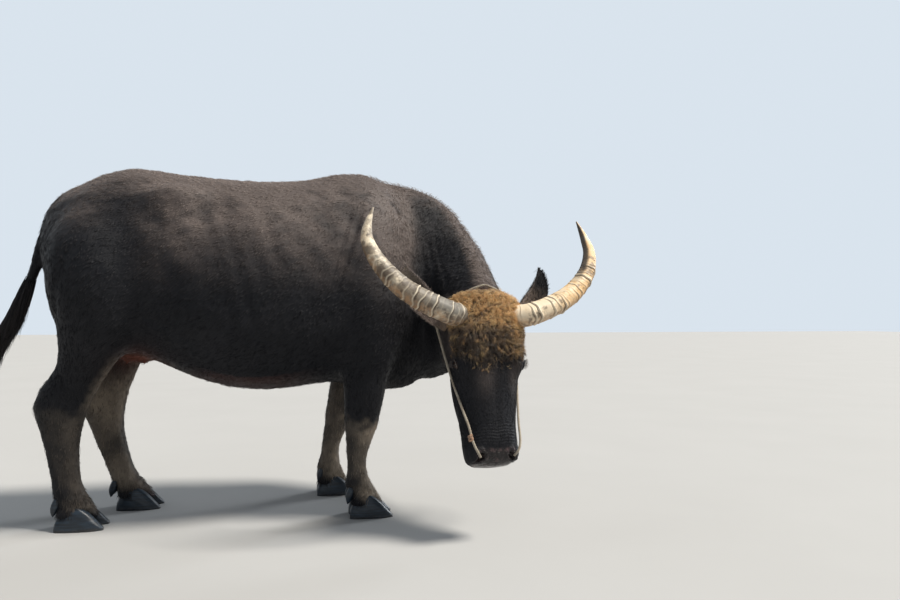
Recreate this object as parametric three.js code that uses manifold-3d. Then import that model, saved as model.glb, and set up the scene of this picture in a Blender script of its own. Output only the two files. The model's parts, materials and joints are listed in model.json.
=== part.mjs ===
// A water buffalo standing square, its neck bent down and round so that the face looks out to its right.
// Life size, in millimetres. +X runs from tail to chest, +Y to the animal's left, +Z up.
// X 0 lies midway between fore and hind feet, until the end, where the whole animal is set with the
// middle of its box over the origin.
import * as THREE from "three";
import { mergeVertices } from "three/addons/utils/BufferGeometryUtils.js";
import Module from "manifold-3d";

const wasm = await Module();
wasm.setup();
const { Manifold, Mesh: SolidMesh } = wasm;

// Gap kept between touching pieces, the growth of a cutter that leaves it, and the growth of one that is
// thin or ridged.
const GAP = 0.3;
const GROWTH = 0.38;
const LOOSE_GROWTH = 0.8;
const SLIVER = 0.05;
// How far a face may move where small faces left by a union are merged, before any neighbour is cut from it.
const MERGED = 0.3;

// Cuts that part the body.
const ELBOW_Z = 520;
const KNEE_Z = 292;
const STIFLE_Z = 600;
const HOCK_Z = 425;
const NECK_CUT_TOP = new THREE.Vector3(560, 0, 1240);
const NECK_CUT_FOOT = new THREE.Vector3(735, 0, 560);
const DOCK_CUT_Z = 742;

// Trunk, from rump to chest: x, top, height of the widest line, bottom, half width, and how round the
// back is, where more than 1 slopes like a roof.
const TRUNK = [
  [-652, 1008, 972, 935, 40, 1],
  [-640, 1072, 965, 870, 96, 1.05],
  [-606, 1130, 945, 770, 152, 1.12],
  [-540, 1184, 915, 655, 205, 1.16],
  [-450, 1230, 892, 608, 240, 1.14],
  [-360, 1250, 870, 580, 262, 1.12],
  [-260, 1242, 845, 552, 284, 1.08],
  [-140, 1229, 812, 496, 308, 1.02],
  [0, 1222, 790, 458, 324, 1],
  [130, 1220, 790, 450, 322, 1],
  [250, 1231, 800, 462, 306, 1.02],
  [345, 1254, 820, 470, 286, 1.06],
  [430, 1264, 835, 458, 270, 1.08],
  [520, 1250, 830, 441, 250, 1.06],
  [600, 1190, 790, 440, 222, 1],
  [670, 1080, 740, 462, 182, 1],
  [715, 960, 700, 505, 132, 1],
  [740, 850, 680, 560, 60, 1],
];

// Hip bones, standing out of the rump on each side.
const HIP_BONE = { x: -190, y: 180, z: 1092, half: [132, 54, 84] };

// Neck, from inside the shoulder to inside the head: crest x, y, z, throat x, y, z, half width, turn in degrees.
const NECK = [
  [430, 0, 1240, 520, 0, 500, 200, 0],
  [540, 0, 1242, 640, -5, 470, 192, 4],
  [666, -15, 1221, 728, -30, 476, 172, 16],
  [770, -62, 1166, 772, -90, 498, 152, 34],
  [830, -140, 1063, 790, -172, 522, 136, 54],
  [862, -232, 958, 798, -255, 545, 124, 70],
  [864, -325, 868, 802, -335, 566, 114, 80],
  [860, -425, 806, 806, -415, 600, 98, 86],
];

// Legs by height: z, rear x, front x, distance from the midline, half width.
const FORELEG = [
  [1010, 345, 480, 130, 60],
  [900, 345, 585, 165, 92],
  [780, 350, 642, 178, 106],
  [660, 356, 616, 182, 100],
  [570, 370, 578, 180, 88],
  [500, 381, 546, 176, 76],
  [430, 385, 532, 172, 65],
  [360, 387, 517, 168, 55],
  [300, 390, 503, 165, 50],
  [250, 393, 481, 163, 40],
  [200, 396, 470, 161, 35],
  [150, 396, 474, 160, 37],
  [108, 394, 490, 160, 46],
  [72, 406, 512, 160, 45],
  [36, 420, 530, 160, 42],
];
const HINDLEG = [
  [1060, -560, -330, 130, 80],
  [960, -606, -280, 152, 120],
  [860, -603, -250, 165, 132],
  [760, -592, -248, 166, 128],
  [680, -572, -272, 160, 114],
  [610, -560, -330, 152, 98],
  [555, -570, -382, 146, 82],
  [500, -600, -418, 140, 68],
  [440, -640, -448, 136, 57],
  [385, -638, -472, 134, 51],
  [320, -620, -489, 132, 41],
  [230, -601, -494, 130, 36],
  [150, -585, -486, 130, 37],
  [108, -578, -468, 130, 46],
  [72, -566, -446, 130, 45],
  [36, -550, -428, 130, 42],
];
// Where each foot stands: how far its leg has stepped forward and sideways at the floor, and the height
// where that lean starts.
const STANCE = {
  foreleg_right: { rows: FORELEG, side: -1, step: 0, spread: 0, from: 640 },
  foreleg_left: { rows: FORELEG, side: 1, step: -112, spread: 34, from: 640 },
  hindleg_right: { rows: HINDLEG, side: -1, step: 0, spread: -12, from: 700 },
  hindleg_left: { rows: HINDLEG, side: 1, step: 142, spread: -6, from: 700 },
};

// One claw of a hoof, from heel to toe: x, height of the horn wall, half width.
const CLAW = [
  [0, 26, 15],
  [9, 46, 22],
  [38, 68, 26],
  [68, 79, 26],
  [98, 62, 25],
  [126, 35, 20],
  [146, 14, 12],
  [152, 7, 6],
];
const CLAW_APART = 29;
const CLAW_SPLAY = 4;
const CLAW_SETBACK = 12;
const DEWCLAW = { length: 46, radius: 13, apart: 25, z: 84 };

const UDDER = { x: -345, z: 592, half: [84, 66, 42], teat: { length: 30, radius: 9 }, teatX: 32, teatY: 24 };

// Head, from poll to muzzle in its own frame: x, brow line, widest line, jaw line, half width,
// share of that width kept at the brow and at the jaw.
const HEAD = [
  [-8, -46, -85, -118, 62, 0.8, 0.8],
  [14, -14, -78, -168, 104, 0.86, 0.7],
  [60, 4, -62, -218, 121, 0.88, 0.66],
  [125, 6, -56, -246, 121, 0.86, 0.66],
  [190, 2, -58, -252, 118, 0.8, 0.66],
  [250, -6, -72, -244, 117, 0.64, 0.8],
  [310, -13, -88, -228, 113, 0.55, 0.84],
  [370, -18, -95, -204, 105, 0.52, 0.86],
  [425, -20, -94, -170, 97, 0.6, 0.84],
  [470, -20, -91, -150, 96, 0.7, 0.8],
  [508, -28, -90, -144, 95, 0.72, 0.78],
  [538, -46, -92, -136, 86, 0.74, 0.76],
  [556, -68, -96, -122, 54, 0.8, 0.8],
];
// Rounded forms raised on each side of the head: brow over the eye, cheek muscle, nostril wing and lip,
// and the chin in the middle.
const HEAD_FORMS = [
  { at: [222, 87, -46], half: [52, 35, 38] },
  { at: [156, 78, -158], half: [96, 40, 84] },
  { at: [512, 56, -58], half: [36, 32, 30] },
  { at: [522, 44, -104], half: [36, 46, 26] },
];
const CHIN = { at: [510, 0, -136], half: [50, 56, 24] };
const HEAD_AT = new THREE.Vector3(838, -523, 736);
const HEAD_AT_X = 60;
const HEAD_TURN = 83;
const HEAD_LEAN = 1;
const MUZZLE_OUT = 12.5;

// Horn in the head's frame, for the left side: x, y, z, half thickness across the curve, and flatness.
const HORN = [
  [74, 86, -40, 37, 0.98],
  [71, 144, 0, 37, 0.96],
  [40, 226, 12, 35.5, 0.92],
  [-8, 302, 8, 33, 0.88],
  [-77, 363, -2, 28, 0.86],
  [-154, 396, -23, 22, 0.88],
  [-218, 393, -40, 14.5, 0.92],
  [-284, 371, -46, 2.2, 1],
];
const HORN_RIDGES = 11;
const RIDGE_FROM = 0.12;
const RIDGE_TO = 0.66;
const RIDGE_HEIGHT = 3.2;

// Ears in the head's frame: root, bend and tip on the left side, and the way the cup faces.
const EARS = {
  ear_left: { side: 1, root: [88, 106, -120], bend: [-34, 294, -142], tip: [-134, 258, -150], open: [0.25, 0.2, 1] },
  ear_right: { side: -1, root: [88, 106, -120], bend: [-40, 256, -140], tip: [-124, 240, -150], open: [0.25, 0.2, 1] },
};
const EAR_WIDTH = 48;
const EAR_THICKNESS = 7;
const EAR_CUP = 0.62;

const EYE = { x: 228, y: 103, z: -50, radius: 20 };
const EYE_LOOK = new THREE.Vector3(0.22, 0.9, 0.34).normalize();
const LID = { radius: 25.5, lensRadius: 22, lensApart: 14 };

const NOSTRIL = { x: 524, y: 52, z: -46, long: 17, wide: 10, deep: 17, slant: 28 };
// The mouth's line: x and z of its corner, the bend of the lips, its height at the front, and its groove.
const MOUTH = { corner: 412, cornerZ: -112, bendX: 490, bendZ: -109, frontZ: -121, wide: 5, deep: 9, past: 600 };

// Tail: dock centre line with its half thickness, and the tuft of locks at its end.
const DOCK = [
  [-530, 0, 1150, 40],
  [-592, 0, 1112, 35],
  [-634, -2, 1046, 28],
  [-662, -5, 962, 23],
  [-684, -8, 880, 20.5],
  [-710, -11, 800, 18],
  [-744, -14, 722, 15],
  [-774, -16, 655, 10],
];
// The tuft of locks at the end of the tail, rooted along its last stretch.
const SWITCH = { locks: 12, from: 0.66, length: 175, width: 16, thickness: 6, sunk: 12, flare: 0.2 };

// Shaggy hair of the forehead: rows of locks from the poll down to the eyes, over a low core. Each row has
// the place of its roots along the head, its number of locks and how many degrees it spans over the brow.
const FORELOCK = {
  rows: [
    [12, 5, 100],
    [40, 5, 116],
    [70, 6, 116],
    [102, 5, 100],
    [132, 6, 124],
    [162, 5, 104],
  ],
  length: 70,
  width: 23,
  thickness: 8,
  lift: 17,
  sunk: 14,
  fan: 0.5,
};
const FORELOCK_CORE = { centre: [104, 0, -22], half: [104, 96, 36] };

const ROPE_RADIUS = 4.2;

const paint = (colour, roughness) => new THREE.MeshStandardMaterial({ color: colour, roughness, metalness: 0 });
const HIDE = paint(0x2b2627, 0.62);
const PALE_HIDE = paint(0x6d6158, 0.7);
const UDDER_SKIN = paint(0x6a4038, 0.65);
const HORN_PAINT = paint(0xb59c72, 0.5);
const HOOF_PAINT = paint(0x232a33, 0.35);
const EYE_PAINT = paint(0x120c09, 0.08);
const HAIR = paint(0x1c1817, 0.8);
const ROPE_PAINT = paint(0xa79f8c, 0.85);

const vector = (x, y, z) => new THREE.Vector3(x, y, z);
const radians = THREE.MathUtils.degToRad;

// A repeatable draw between -1 and 1.
let drawn = 7;
function draw() {
  drawn = (drawn * 16807) % 2147483647;
  return (2 * drawn) / 2147483647 - 1;
}

// Smooth curve through rows of numbers, read at t from 0 to 1.
function rowAt(rows, t) {
  const place = THREE.MathUtils.clamp(t, 0, 1) * (rows.length - 1);
  const k = Math.min(Math.floor(place), rows.length - 2);
  const f = place - k;
  const before = rows[Math.max(k - 1, 0)];
  const after = rows[Math.min(k + 2, rows.length - 1)];
  return rows[k].map((a, i) => {
    const b = rows[k + 1][i];
    const slopeA = (b - before[i]) / 2;
    const slopeB = (after[i] - a) / 2;
    const f2 = f * f;
    const f3 = f2 * f;
    return a * (2 * f3 - 3 * f2 + 1) + slopeA * (f3 - 2 * f2 + f) + b * (3 * f2 - 2 * f3) + slopeB * (f3 - f2);
  });
}

// A sphere's skin pulled into a new form: form(t, angle) gives the point at t along and angle round it.
// The first and last rings close on the middle of their ends.
function shaped(sides, rings, form) {
  const geometry = new THREE.SphereGeometry(1, sides, rings);
  const uv = geometry.getAttribute("uv");
  const position = geometry.getAttribute("position");
  const ends = [0, 1].map((t) => {
    const middle = vector(0, 0, 0);
    for (let i = 0; i < sides; i++) middle.addScaledVector(form(t, (2 * Math.PI * i) / sides), 1 / sides);
    return middle;
  });
  for (let i = 0; i < position.count; i++) {
    const ring = Math.round(uv.getY(i) * rings);
    const side = Math.round(uv.getX(i) * sides) % sides;
    let point;
    if (ring === 0) point = ends[1];
    else if (ring === rings) point = ends[0];
    else point = form((rings - 1 - ring) / (rings - 2), (2 * Math.PI * side) / sides);
    position.setXYZ(i, point.x, point.y, point.z);
  }
  return geometry;
}

// The closed mesh with shared corners merged, facing out.
function closed(geometry) {
  const bare = new THREE.BufferGeometry();
  bare.setAttribute("position", geometry.getAttribute("position"));
  if (geometry.index) bare.setIndex(geometry.index);
  return mergeVertices(bare, 1e-3);
}

function solid(geometry) {
  const merged = closed(geometry);
  const vertProperties = new Float32Array(merged.getAttribute("position").array);
  const triVerts = new Uint32Array(merged.index.array);
  const made = new Manifold(new SolidMesh({ numProp: 3, vertProperties, triVerts }));
  if (made.volume() > 0) return made;
  for (let i = 0; i < triVerts.length; i += 3) [triVerts[i + 1], triVerts[i + 2]] = [triVerts[i + 2], triVerts[i + 1]];
  return new Manifold(new SolidMesh({ numProp: 3, vertProperties, triVerts }));
}

function geometryOf(made) {
  const mesh = made.getMesh();
  const geometry = new THREE.BufferGeometry();
  geometry.setAttribute("position", new THREE.BufferAttribute(new Float32Array(mesh.vertProperties), 3));
  geometry.setIndex(new THREE.BufferAttribute(new Uint32Array(mesh.triVerts), 1));
  geometry.computeVertexNormals();
  return geometry;
}

// The solid with every corner moved out along its normal.
function grown(made, amount = GROWTH) {
  const geometry = geometryOf(made);
  const position = geometry.getAttribute("position");
  const normal = geometry.getAttribute("normal");
  for (let i = 0; i < position.count; i++) {
    position.setXYZ(
      i,
      position.getX(i) + amount * normal.getX(i),
      position.getY(i) + amount * normal.getY(i),
      position.getZ(i) + amount * normal.getZ(i),
    );
  }
  return solid(geometry);
}

const bothSides = (make) => [-1, 1].map(make);
const largest = (made) => made.decompose().reduce((a, b) => (b.volume() > a.volume() ? b : a));
const joined = (...pieces) => Manifold.union(pieces.flat());
const tidy = (made) => largest(made.simplify(SLIVER));
const below = (made, z) => made.trimByPlane([0, 0, -1], -z);
const above = (made, z) => made.trimByPlane([0, 0, 1], z);

function ellipsoid(centre, radii, sides = 16, rings = 10) {
  const geometry = new THREE.SphereGeometry(1, sides, rings);
  geometry.scale(...radii);
  geometry.translate(...centre);
  return solid(geometry);
}

// A tube along rows of x, y, z, half thickness and flatness, with the section's flat side facing one way.
function tube(rows, sides, rings, facing, bulge = () => 0) {
  return solid(shaped(sides, rings, (t, angle) => {
    const [x, y, z, radius, flatness = 1] = rowAt(rows, t);
    const step = 0.01;
    const ahead = vector(...rowAt(rows, Math.min(t + step, 1)));
    const behind = vector(...rowAt(rows, Math.max(t - step, 0)));
    const along = ahead.sub(behind).normalize();
    const across = vector().crossVectors(facing, along).normalize();
    const up = vector().crossVectors(along, across);
    const r = radius + bulge(t, angle);
    return vector(x, y, z)
      .addScaledVector(across, r * Math.cos(angle))
      .addScaledVector(up, r * flatness * Math.sin(angle));
  }));
}

// Trunk, hips and shoulders

function trunkPoint(t, angle) {
  const [x, top, belt, bottom, half, roof] = rowAt(TRUNK, t);
  const c = Math.cos(angle);
  const s = Math.sin(angle);
  const power = s > 0 ? 0.88 + (roof - 0.88) * Math.min(1, 3 * s) : 0.88;
  const rise = s > 0 ? top - belt : belt - bottom;
  return vector(x, half * Math.sign(c) * Math.abs(c) ** power, belt + rise * Math.sign(s) * Math.abs(s) ** power);
}

const trunk = solid(shaped(22, 22, trunkPoint));
const hipBones = bothSides((side) => ellipsoid([HIP_BONE.x, side * HIP_BONE.y, HIP_BONE.z], HIP_BONE.half, 10, 7));

function neckPoint(t, angle) {
  const [cx, cy, cz, tx, ty, tz, half, turn] = rowAt(NECK, t);
  const crest = vector(cx, cy, cz);
  const throat = vector(tx, ty, tz);
  const across = vector(Math.sin(radians(turn)), Math.cos(radians(turn)), 0);
  const s = Math.sin(angle);
  // The crest is narrower than the throat side.
  const pinch = s > 0 ? 1 - 0.3 * s * s : 1;
  return crest.clone().lerp(throat, 0.55 - 0.5 * s + 0.05 * (1 - s * s) - 0.05).addScaledVector(across, half * pinch * Math.cos(angle));
}

const neckWhole = solid(shaped(16, 14, neckPoint));

// Legs

function legRows({ rows, side, step, spread, from }) {
  return rows.map(([z, rear, front, out, half]) => {
    const low = Math.max(0, 1 - z / from);
    return [z, rear + step * low, front + step * low, side * (out + spread * low), half];
  });
}

function legWhole(stance) {
  const rows = legRows(stance);
  return solid(shaped(10, 20, (t, angle) => {
    const [z, rear, front, y, half] = rowAt(rows, t);
    return vector((rear + front) / 2 + ((front - rear) / 2) * Math.cos(angle), y + half * Math.sin(angle), z);
  }));
}

// Udder, small and dry, between the stifles

function udderSolid() {
  const { x, z, half, teat, teatX, teatY } = UDDER;
  const teats = [-1, 1].flatMap((fore) => bothSides((side) => tube(
    [
      [x + fore * teatX, side * teatY, z - half[2] * 0.6, teat.radius],
      [x + fore * teatX, side * teatY * 1.08, z - half[2] * 0.8 - teat.length / 2, teat.radius],
      [x + fore * teatX, side * teatY * 1.12, z - half[2] * 0.8 - teat.length, teat.radius * 0.4],
    ],
    6,
    4,
    vector(0, 1, 0),
  )));
  return joined(ellipsoid([x, 0, z], half, 12, 7), teats);
}

// Feet: two claws and two dewclaws on each leg, in the frame of the foot's heel.

function clawSolid(x, y, side) {
  const geometry = shaped(9, 9, (t, angle) => {
    const [along, height, half] = rowAt(CLAW, t);
    const floorCut = 24;
    const rise = Math.sin(angle) > 0 ? height : floorCut;
    return vector(along, half * Math.cos(angle), rise * Math.sin(angle));
  });
  geometry.rotateZ(radians(side * CLAW_SPLAY));
  geometry.translate(x, y + side * CLAW_APART, 0);
  return above(solid(geometry), 0);
}

function dewclawSolid(rear, y, side) {
  const { length, radius, apart, z } = DEWCLAW;
  const rows = [
    [rear + 28, y + side * apart * 0.8, z + 12, radius * 0.9],
    [rear + 11, y + side * apart, z, radius],
    [rear, y + side * apart, z - length * 0.45, radius * 0.8],
    [rear - 2, y + side * apart, z - length * 0.8, 3],
  ];
  return tube(rows, 6, 5, vector(0, 1, 0));
}

function footSolids(stance) {
  const rows = legRows(stance);
  const [, rear, , y] = rows[rows.length - 1];
  const fetlock = rows[rows.length - 3];
  const pair = [["outer", stance.side], ["inner", -stance.side]];
  return {
    claws: pair.map(([which, side]) => [which, clawSolid(rear - CLAW_SETBACK, y, side)]),
    dewclaws: pair.map(([which, side]) => [which, dewclawSolid(fetlock[1], fetlock[3], side)]),
  };
}

// Tail

const dock = tube(DOCK, 10, 16, vector(0, 1, 0));

// One flat lock of hair. Its root is sunk behind the place it grows from, it rises to its lift and
// bends back to a thin tip.
function lock({ root, along, out, length, width, thickness, lift, sunk }) {
  const across = vector().crossVectors(out, along).normalize();
  return solid(shaped(4, 5, (t, angle) => {
    const reach = -sunk + (length + sunk) * t;
    const height = lift * Math.sin(Math.PI * Math.min(1, 0.12 + 0.8 * t)) - sunk * (1 - t) ** 4;
    const taper = t < 0.3 ? 0.7 + t : Math.max(0.08, 1.25 * (1 - t) ** 0.6);
    return root
      .clone()
      .addScaledVector(along, reach)
      .addScaledVector(out, height)
      .addScaledVector(across, width * taper * Math.cos(angle))
      .addScaledVector(out, thickness * taper * Math.sin(angle));
  }));
}

function switchLocks() {
  const goldenAngle = 2.4;
  const { locks, from, length, width, thickness, sunk, flare } = SWITCH;
  return Array.from({ length: locks }, (_, i) => {
    const t = from + ((1 - from) * i) / (locks - 1);
    const [x, y, z, radius] = rowAt(DOCK, t);
    const along = vector(...rowAt(DOCK, Math.min(1, t + 0.02))).sub(vector(...rowAt(DOCK, t - 0.02))).normalize();
    const sideways = vector(0, 1, 0);
    const back = vector().crossVectors(sideways, along).normalize();
    const angle = goldenAngle * i;
    const out = sideways.multiplyScalar(Math.cos(angle)).addScaledVector(back, Math.sin(angle));
    const fall = along.clone().addScaledVector(out, flare * (0.5 + 0.3 * draw())).add(vector(0, 0, -0.3)).normalize();
    return lock({
      root: vector(x, y, z).addScaledVector(out, radius * 0.4),
      along: fall,
      out: out.addScaledVector(fall, -out.dot(fall)).normalize(),
      length: length * (1 + 0.12 * draw()),
      width,
      thickness,
      lift: 8 + 4 * draw(),
      sunk,
    });
  });
}

// Head, in its own frame: x from poll to muzzle, y to the animal's left, z out of the forehead.

function headPoint(t, angle) {
  const [x, brow, belt, jaw, half, browShare, jawShare] = rowAt(HEAD, t);
  const c = Math.cos(angle);
  const s = Math.sin(angle);
  const squareness = 0.72;
  const rise = s > 0 ? brow - belt : belt - jaw;
  const narrowing = s > 0 ? 1 - (1 - browShare) * s : 1 + (1 - jawShare) * s;
  return vector(
    x,
    half * narrowing * Math.sign(c) * Math.abs(c) ** squareness,
    belt + rise * Math.sign(s) * Math.abs(s) ** squareness,
  );
}

function skullPieces() {
  return [
    solid(shaped(20, 20, headPoint)),
    ...HEAD_FORMS.flatMap(({ at: [x, y, z], half }) => bothSides((side) => ellipsoid([x, side * y, z], half, 10, 7))),
    ellipsoid(CHIN.at, CHIN.half, 10, 7),
  ];
}

function eyeball(side) {
  const { x, y, z, radius } = EYE;
  return ellipsoid([x, side * y, z], [radius, radius, radius], 10, 8);
}

// Two balls that overlap in an almond, the opening between the lids.
function lidOpening(side) {
  const { x, y, z, radius } = EYE;
  const look = vector(EYE_LOOK.x, side * EYE_LOOK.y, EYE_LOOK.z);
  const slit = vector(1, 0, 0.15).normalize();
  const rise = vector().crossVectors(look, slit).normalize();
  const [a, b] = [-1, 1].map((way) => {
    const centre = vector(x, side * y, z)
      .addScaledVector(look, radius + 4)
      .addScaledVector(rise, way * LID.lensApart);
    return ellipsoid(centre.toArray(), [LID.lensRadius, LID.lensRadius, LID.lensRadius], 10, 8);
  });
  return a.intersect(b);
}

function nostril(side) {
  const geometry = new THREE.SphereGeometry(1, 8, 6);
  geometry.scale(NOSTRIL.long, NOSTRIL.wide, NOSTRIL.deep);
  geometry.rotateZ(radians(side * NOSTRIL.slant));
  geometry.translate(NOSTRIL.x, side * NOSTRIL.y, NOSTRIL.z);
  return solid(geometry);
}

// The mouth is a shallow groove round the muzzle, thinning to nothing at its corners.
function mouthLine(head) {
  const { corner, cornerZ, bendX, bendZ, frontZ, wide, deep, past } = MOUTH;
  const outline = new THREE.Shape();
  outline.moveTo(corner, cornerZ);
  outline.quadraticCurveTo(bendX, bendZ, past, frontZ + wide / 2);
  outline.lineTo(past, frontZ - wide / 2);
  outline.quadraticCurveTo(bendX, bendZ - wide, corner, cornerZ);
  const acrossHead = 300;
  const sheet = new THREE.ExtrudeGeometry(outline, { depth: acrossHead, bevelEnabled: false, curveSegments: 3 });
  sheet.translate(0, 0, -acrossHead / 2);
  sheet.rotateX(Math.PI / 2);
  return solid(sheet).subtract(grown(head, -deep));
}

// The share of the head's length at which its row has this x.
function headShare(x) {
  let low = 0;
  let high = 1;
  for (let i = 0; i < 20; i++) {
    const middle = (low + high) / 2;
    if (rowAt(HEAD, middle)[0] < x) low = middle;
    else high = middle;
  }
  return low;
}

function forelock() {
  const { rows, length, width, thickness, lift, sunk, fan } = FORELOCK;
  const locks = rows.flatMap(([x, across, span]) => Array.from({ length: across }, (_, j) => {
    const share = (j + 0.5 + 0.12 * draw()) / across - 0.5;
    const angle = radians(90 - span * share);
    const t = headShare(x + 6 * draw());
    const root = headPoint(t, angle);
    const step = 0.02;
    const down = headPoint(t + step, angle).sub(root).normalize();
    const round = headPoint(t, angle + step).sub(root).normalize();
    const out = vector().crossVectors(down, round).normalize();
    if (out.z < 0) out.negate();
    const along = down.addScaledVector(round, -fan * 2 * share + 0.25 * draw());
    along.addScaledVector(out, -along.dot(out)).normalize();
    return lock({
      root,
      along,
      out,
      length: length * (0.95 + 0.2 * draw()),
      width: width * (1 + 0.12 * draw()),
      thickness,
      lift: lift * (1 + 0.3 * draw()),
      sunk,
    });
  }));
  return [ellipsoid(FORELOCK_CORE.centre, FORELOCK_CORE.half, 14, 8), ...locks];
}

// A cupped leaf: the section at t is a thick crescent that opens towards the ear's own facing.
function earSolid({ side, root, bend, tip, open }) {
  const [start, middle, end, towards] = [root, bend, tip, open].map(([x, y, z]) => vector(x, side * y, z));
  const path = new THREE.QuadraticBezierCurve3(start, middle, end);
  const facing = towards.normalize();
  return solid(shaped(12, 11, (t, angle) => {
    const at = path.getPoint(t);
    const along = path.getTangent(t);
    const across = vector().crossVectors(facing, along).normalize();
    const up = vector().crossVectors(along, across).normalize();
    const leaf = EAR_WIDTH * (0.55 + 0.45 * Math.sin(Math.PI * Math.min(1, 0.95 * t)) ** 0.9) * (1 - t ** 3) ** 0.7;
    const half = Math.max(leaf, 2);
    const cup = EAR_CUP * half * Math.min(1, 0.35 + 3 * t) * (1 - 0.4 * t);
    const c = Math.cos(angle);
    const s = Math.sin(angle);
    const wall = EAR_THICKNESS * (1.5 - t) * (1 - 0.5 * c * c);
    const trough = -cup * (1 - c * c);
    return at.addScaledVector(across, half * c).addScaledVector(up, trough + wall * s * 0.8);
  }));
}

// Growth ridges stand round the horn from its base to past its middle.
function ridge(t, angle) {
  const share = (t - RIDGE_FROM) / (RIDGE_TO - RIDGE_FROM);
  if (share < 0 || share > 1) return 0;
  const wave = 0.5 + 0.5 * Math.cos(2 * Math.PI * HORN_RIDGES * share);
  const front = 0.55 + 0.45 * Math.sin(angle);
  return RIDGE_HEIGHT * (1 - 0.5 * share) * front * (wave - 0.5);
}

function hornSolid(side) {
  const rows = HORN.map(([x, y, z, radius, flatness]) => [x, side * y, z, radius, flatness]);
  return tube(rows, 9, 38, vector(0, 0, 1), ridge);
}

// Halter rope. It runs taut down each cheek, on the hide where the cheek bulges, and in at the nostril.
// Over the nape its right end comes first.
const CHEEK_ROPE_TOP = [70, 138, -170];
const CHEEK_ROPE_FOOT = [464, 82, -34];
const NOSTRIL_ROPE = [
  [488, 77, -27],
  [508, 68, -25],
  [523, 57, -36],
];
const NAPE_ROPE = [
  [70, -138, -170],
  [22, -114, -150],
  [-21, -54, -112],
  [-44, -4, -104],
  [-51, 24, -102],
  [-42, 53, -104],
  [-24, 84, -112],
  [24, 120, -150],
  [70, 138, -170],
];
const KNOT = { x: 462, z: -50, long: 14, wide: 12 };

// How far out the hide lies beside x, z of the head.
function hideBeside(hide, x, z, side) {
  const from = vector(x, side * 400, z);
  const hit = new THREE.Raycaster(from, vector(0, -side, 0)).intersectObject(hide)[0];
  return hit ? Math.abs(hit.point.y) : 0;
}

function ropeTube(points) {
  const rows = points.map((point) => [...point, ROPE_RADIUS]);
  return tube(rows, 6, points.length + 3, vector(0.3, 0, 1));
}

function cheekRope(hide, side) {
  const steps = 11;
  const points = Array.from({ length: steps + 1 }, (_, i) => {
    const p = vector(...CHEEK_ROPE_TOP).lerp(vector(...CHEEK_ROPE_FOOT), i / steps);
    return [p.x, Math.max(p.y, hideBeside(hide, p.x, p.z, side) + 0.6 * ROPE_RADIUS), p.z];
  });
  // Pulled tight, it bridges the hollows of the cheek.
  for (let pull = 0; pull < 60; pull++) {
    for (let i = 1; i < steps; i++) points[i][1] = Math.max(points[i][1], (points[i - 1][1] + points[i + 1][1]) / 2);
  }
  return ropeTube([...points, ...NOSTRIL_ROPE].map(([x, y, z]) => [x, side * y, z]));
}

function knotSolid(hide) {
  const { x, z, long, wide } = KNOT;
  const y = hideBeside(hide, x, z, -1) + 0.7 * wide;
  return ellipsoid([x, -y, z], [long, wide, long], 10, 6);
}

// Assembly

const model = new THREE.Group();
const headGroup = new THREE.Group();
model.add(headGroup);

function add(name, made, material, group = model) {
  const mesh = new THREE.Mesh(geometryOf(tidy(made)), material);
  mesh.name = name;
  group.add(mesh);
}

const turn = radians(HEAD_TURN);
const lean = radians(HEAD_LEAN);
const tilt = radians(MUZZLE_OUT);
const level = vector(Math.cos(turn), -Math.sin(turn), 0);
const headZ = level.clone().multiplyScalar(Math.cos(tilt)).add(vector(0, 0, Math.sin(tilt)));
const straightX = level.clone().multiplyScalar(Math.sin(tilt)).add(vector(0, 0, -Math.cos(tilt)));
const straightY = vector().crossVectors(headZ, straightX);
const headX = straightX.multiplyScalar(Math.cos(lean)).addScaledVector(straightY, -Math.sin(lean));
const headY = vector().crossVectors(headZ, headX);
const headFrame = new THREE.Matrix4().makeBasis(headX, headY, headZ);
headFrame.setPosition(HEAD_AT.clone().addScaledVector(headX, -HEAD_AT_X));
headFrame.decompose(headGroup.position, headGroup.quaternion, headGroup.scale);
const intoBody = (made) => made.transform(headFrame.elements);
const grownAll = (pieces, amount) => joined(pieces.map((made) => grown(made, amount)));

// Pieces of the head, each cut into the one that carries it.
const skull = skullPieces();
const bareHead = joined(skull);
const hide = new THREE.Mesh(geometryOf(bareHead));
const lids = bothSides((side) => ellipsoid([EYE.x, side * EYE.y, EYE.z], [LID.radius, LID.radius, LID.radius], 10, 8));
const horns = { horn_right: hornSolid(-1), horn_left: hornSolid(1) };
const ears = Object.fromEntries(Object.entries(EARS).map(([name, ear]) => [name, earSolid(ear)]));
const eyes = { eye_right: eyeball(-1), eye_left: eyeball(1) };
const napeRope = ropeTube(NAPE_ROPE);
const knot = knotSolid(hide);
const cheekRopes = { halter_right: cheekRope(hide, -1), halter_left: cheekRope(hide, 1) };

const hornCuts = grownAll(Object.values(horns), LOOSE_GROWTH);
const earCuts = grownAll(Object.values(ears), LOOSE_GROWTH);
const ropeCuts = grownAll([...Object.values(cheekRopes), napeRope, knot]);
const cutsOfHead = joined(
  hornCuts,
  earCuts,
  ropeCuts,
  grownAll(Object.values(eyes)),
  bothSides(lidOpening),
  bothSides(nostril),
  mouthLine(bareHead),
);
const headPieces = [...skull, ...lids, ...forelock()];
const head = tidy(joined(headPieces).simplify(MERGED).subtract(cutsOfHead));

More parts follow.
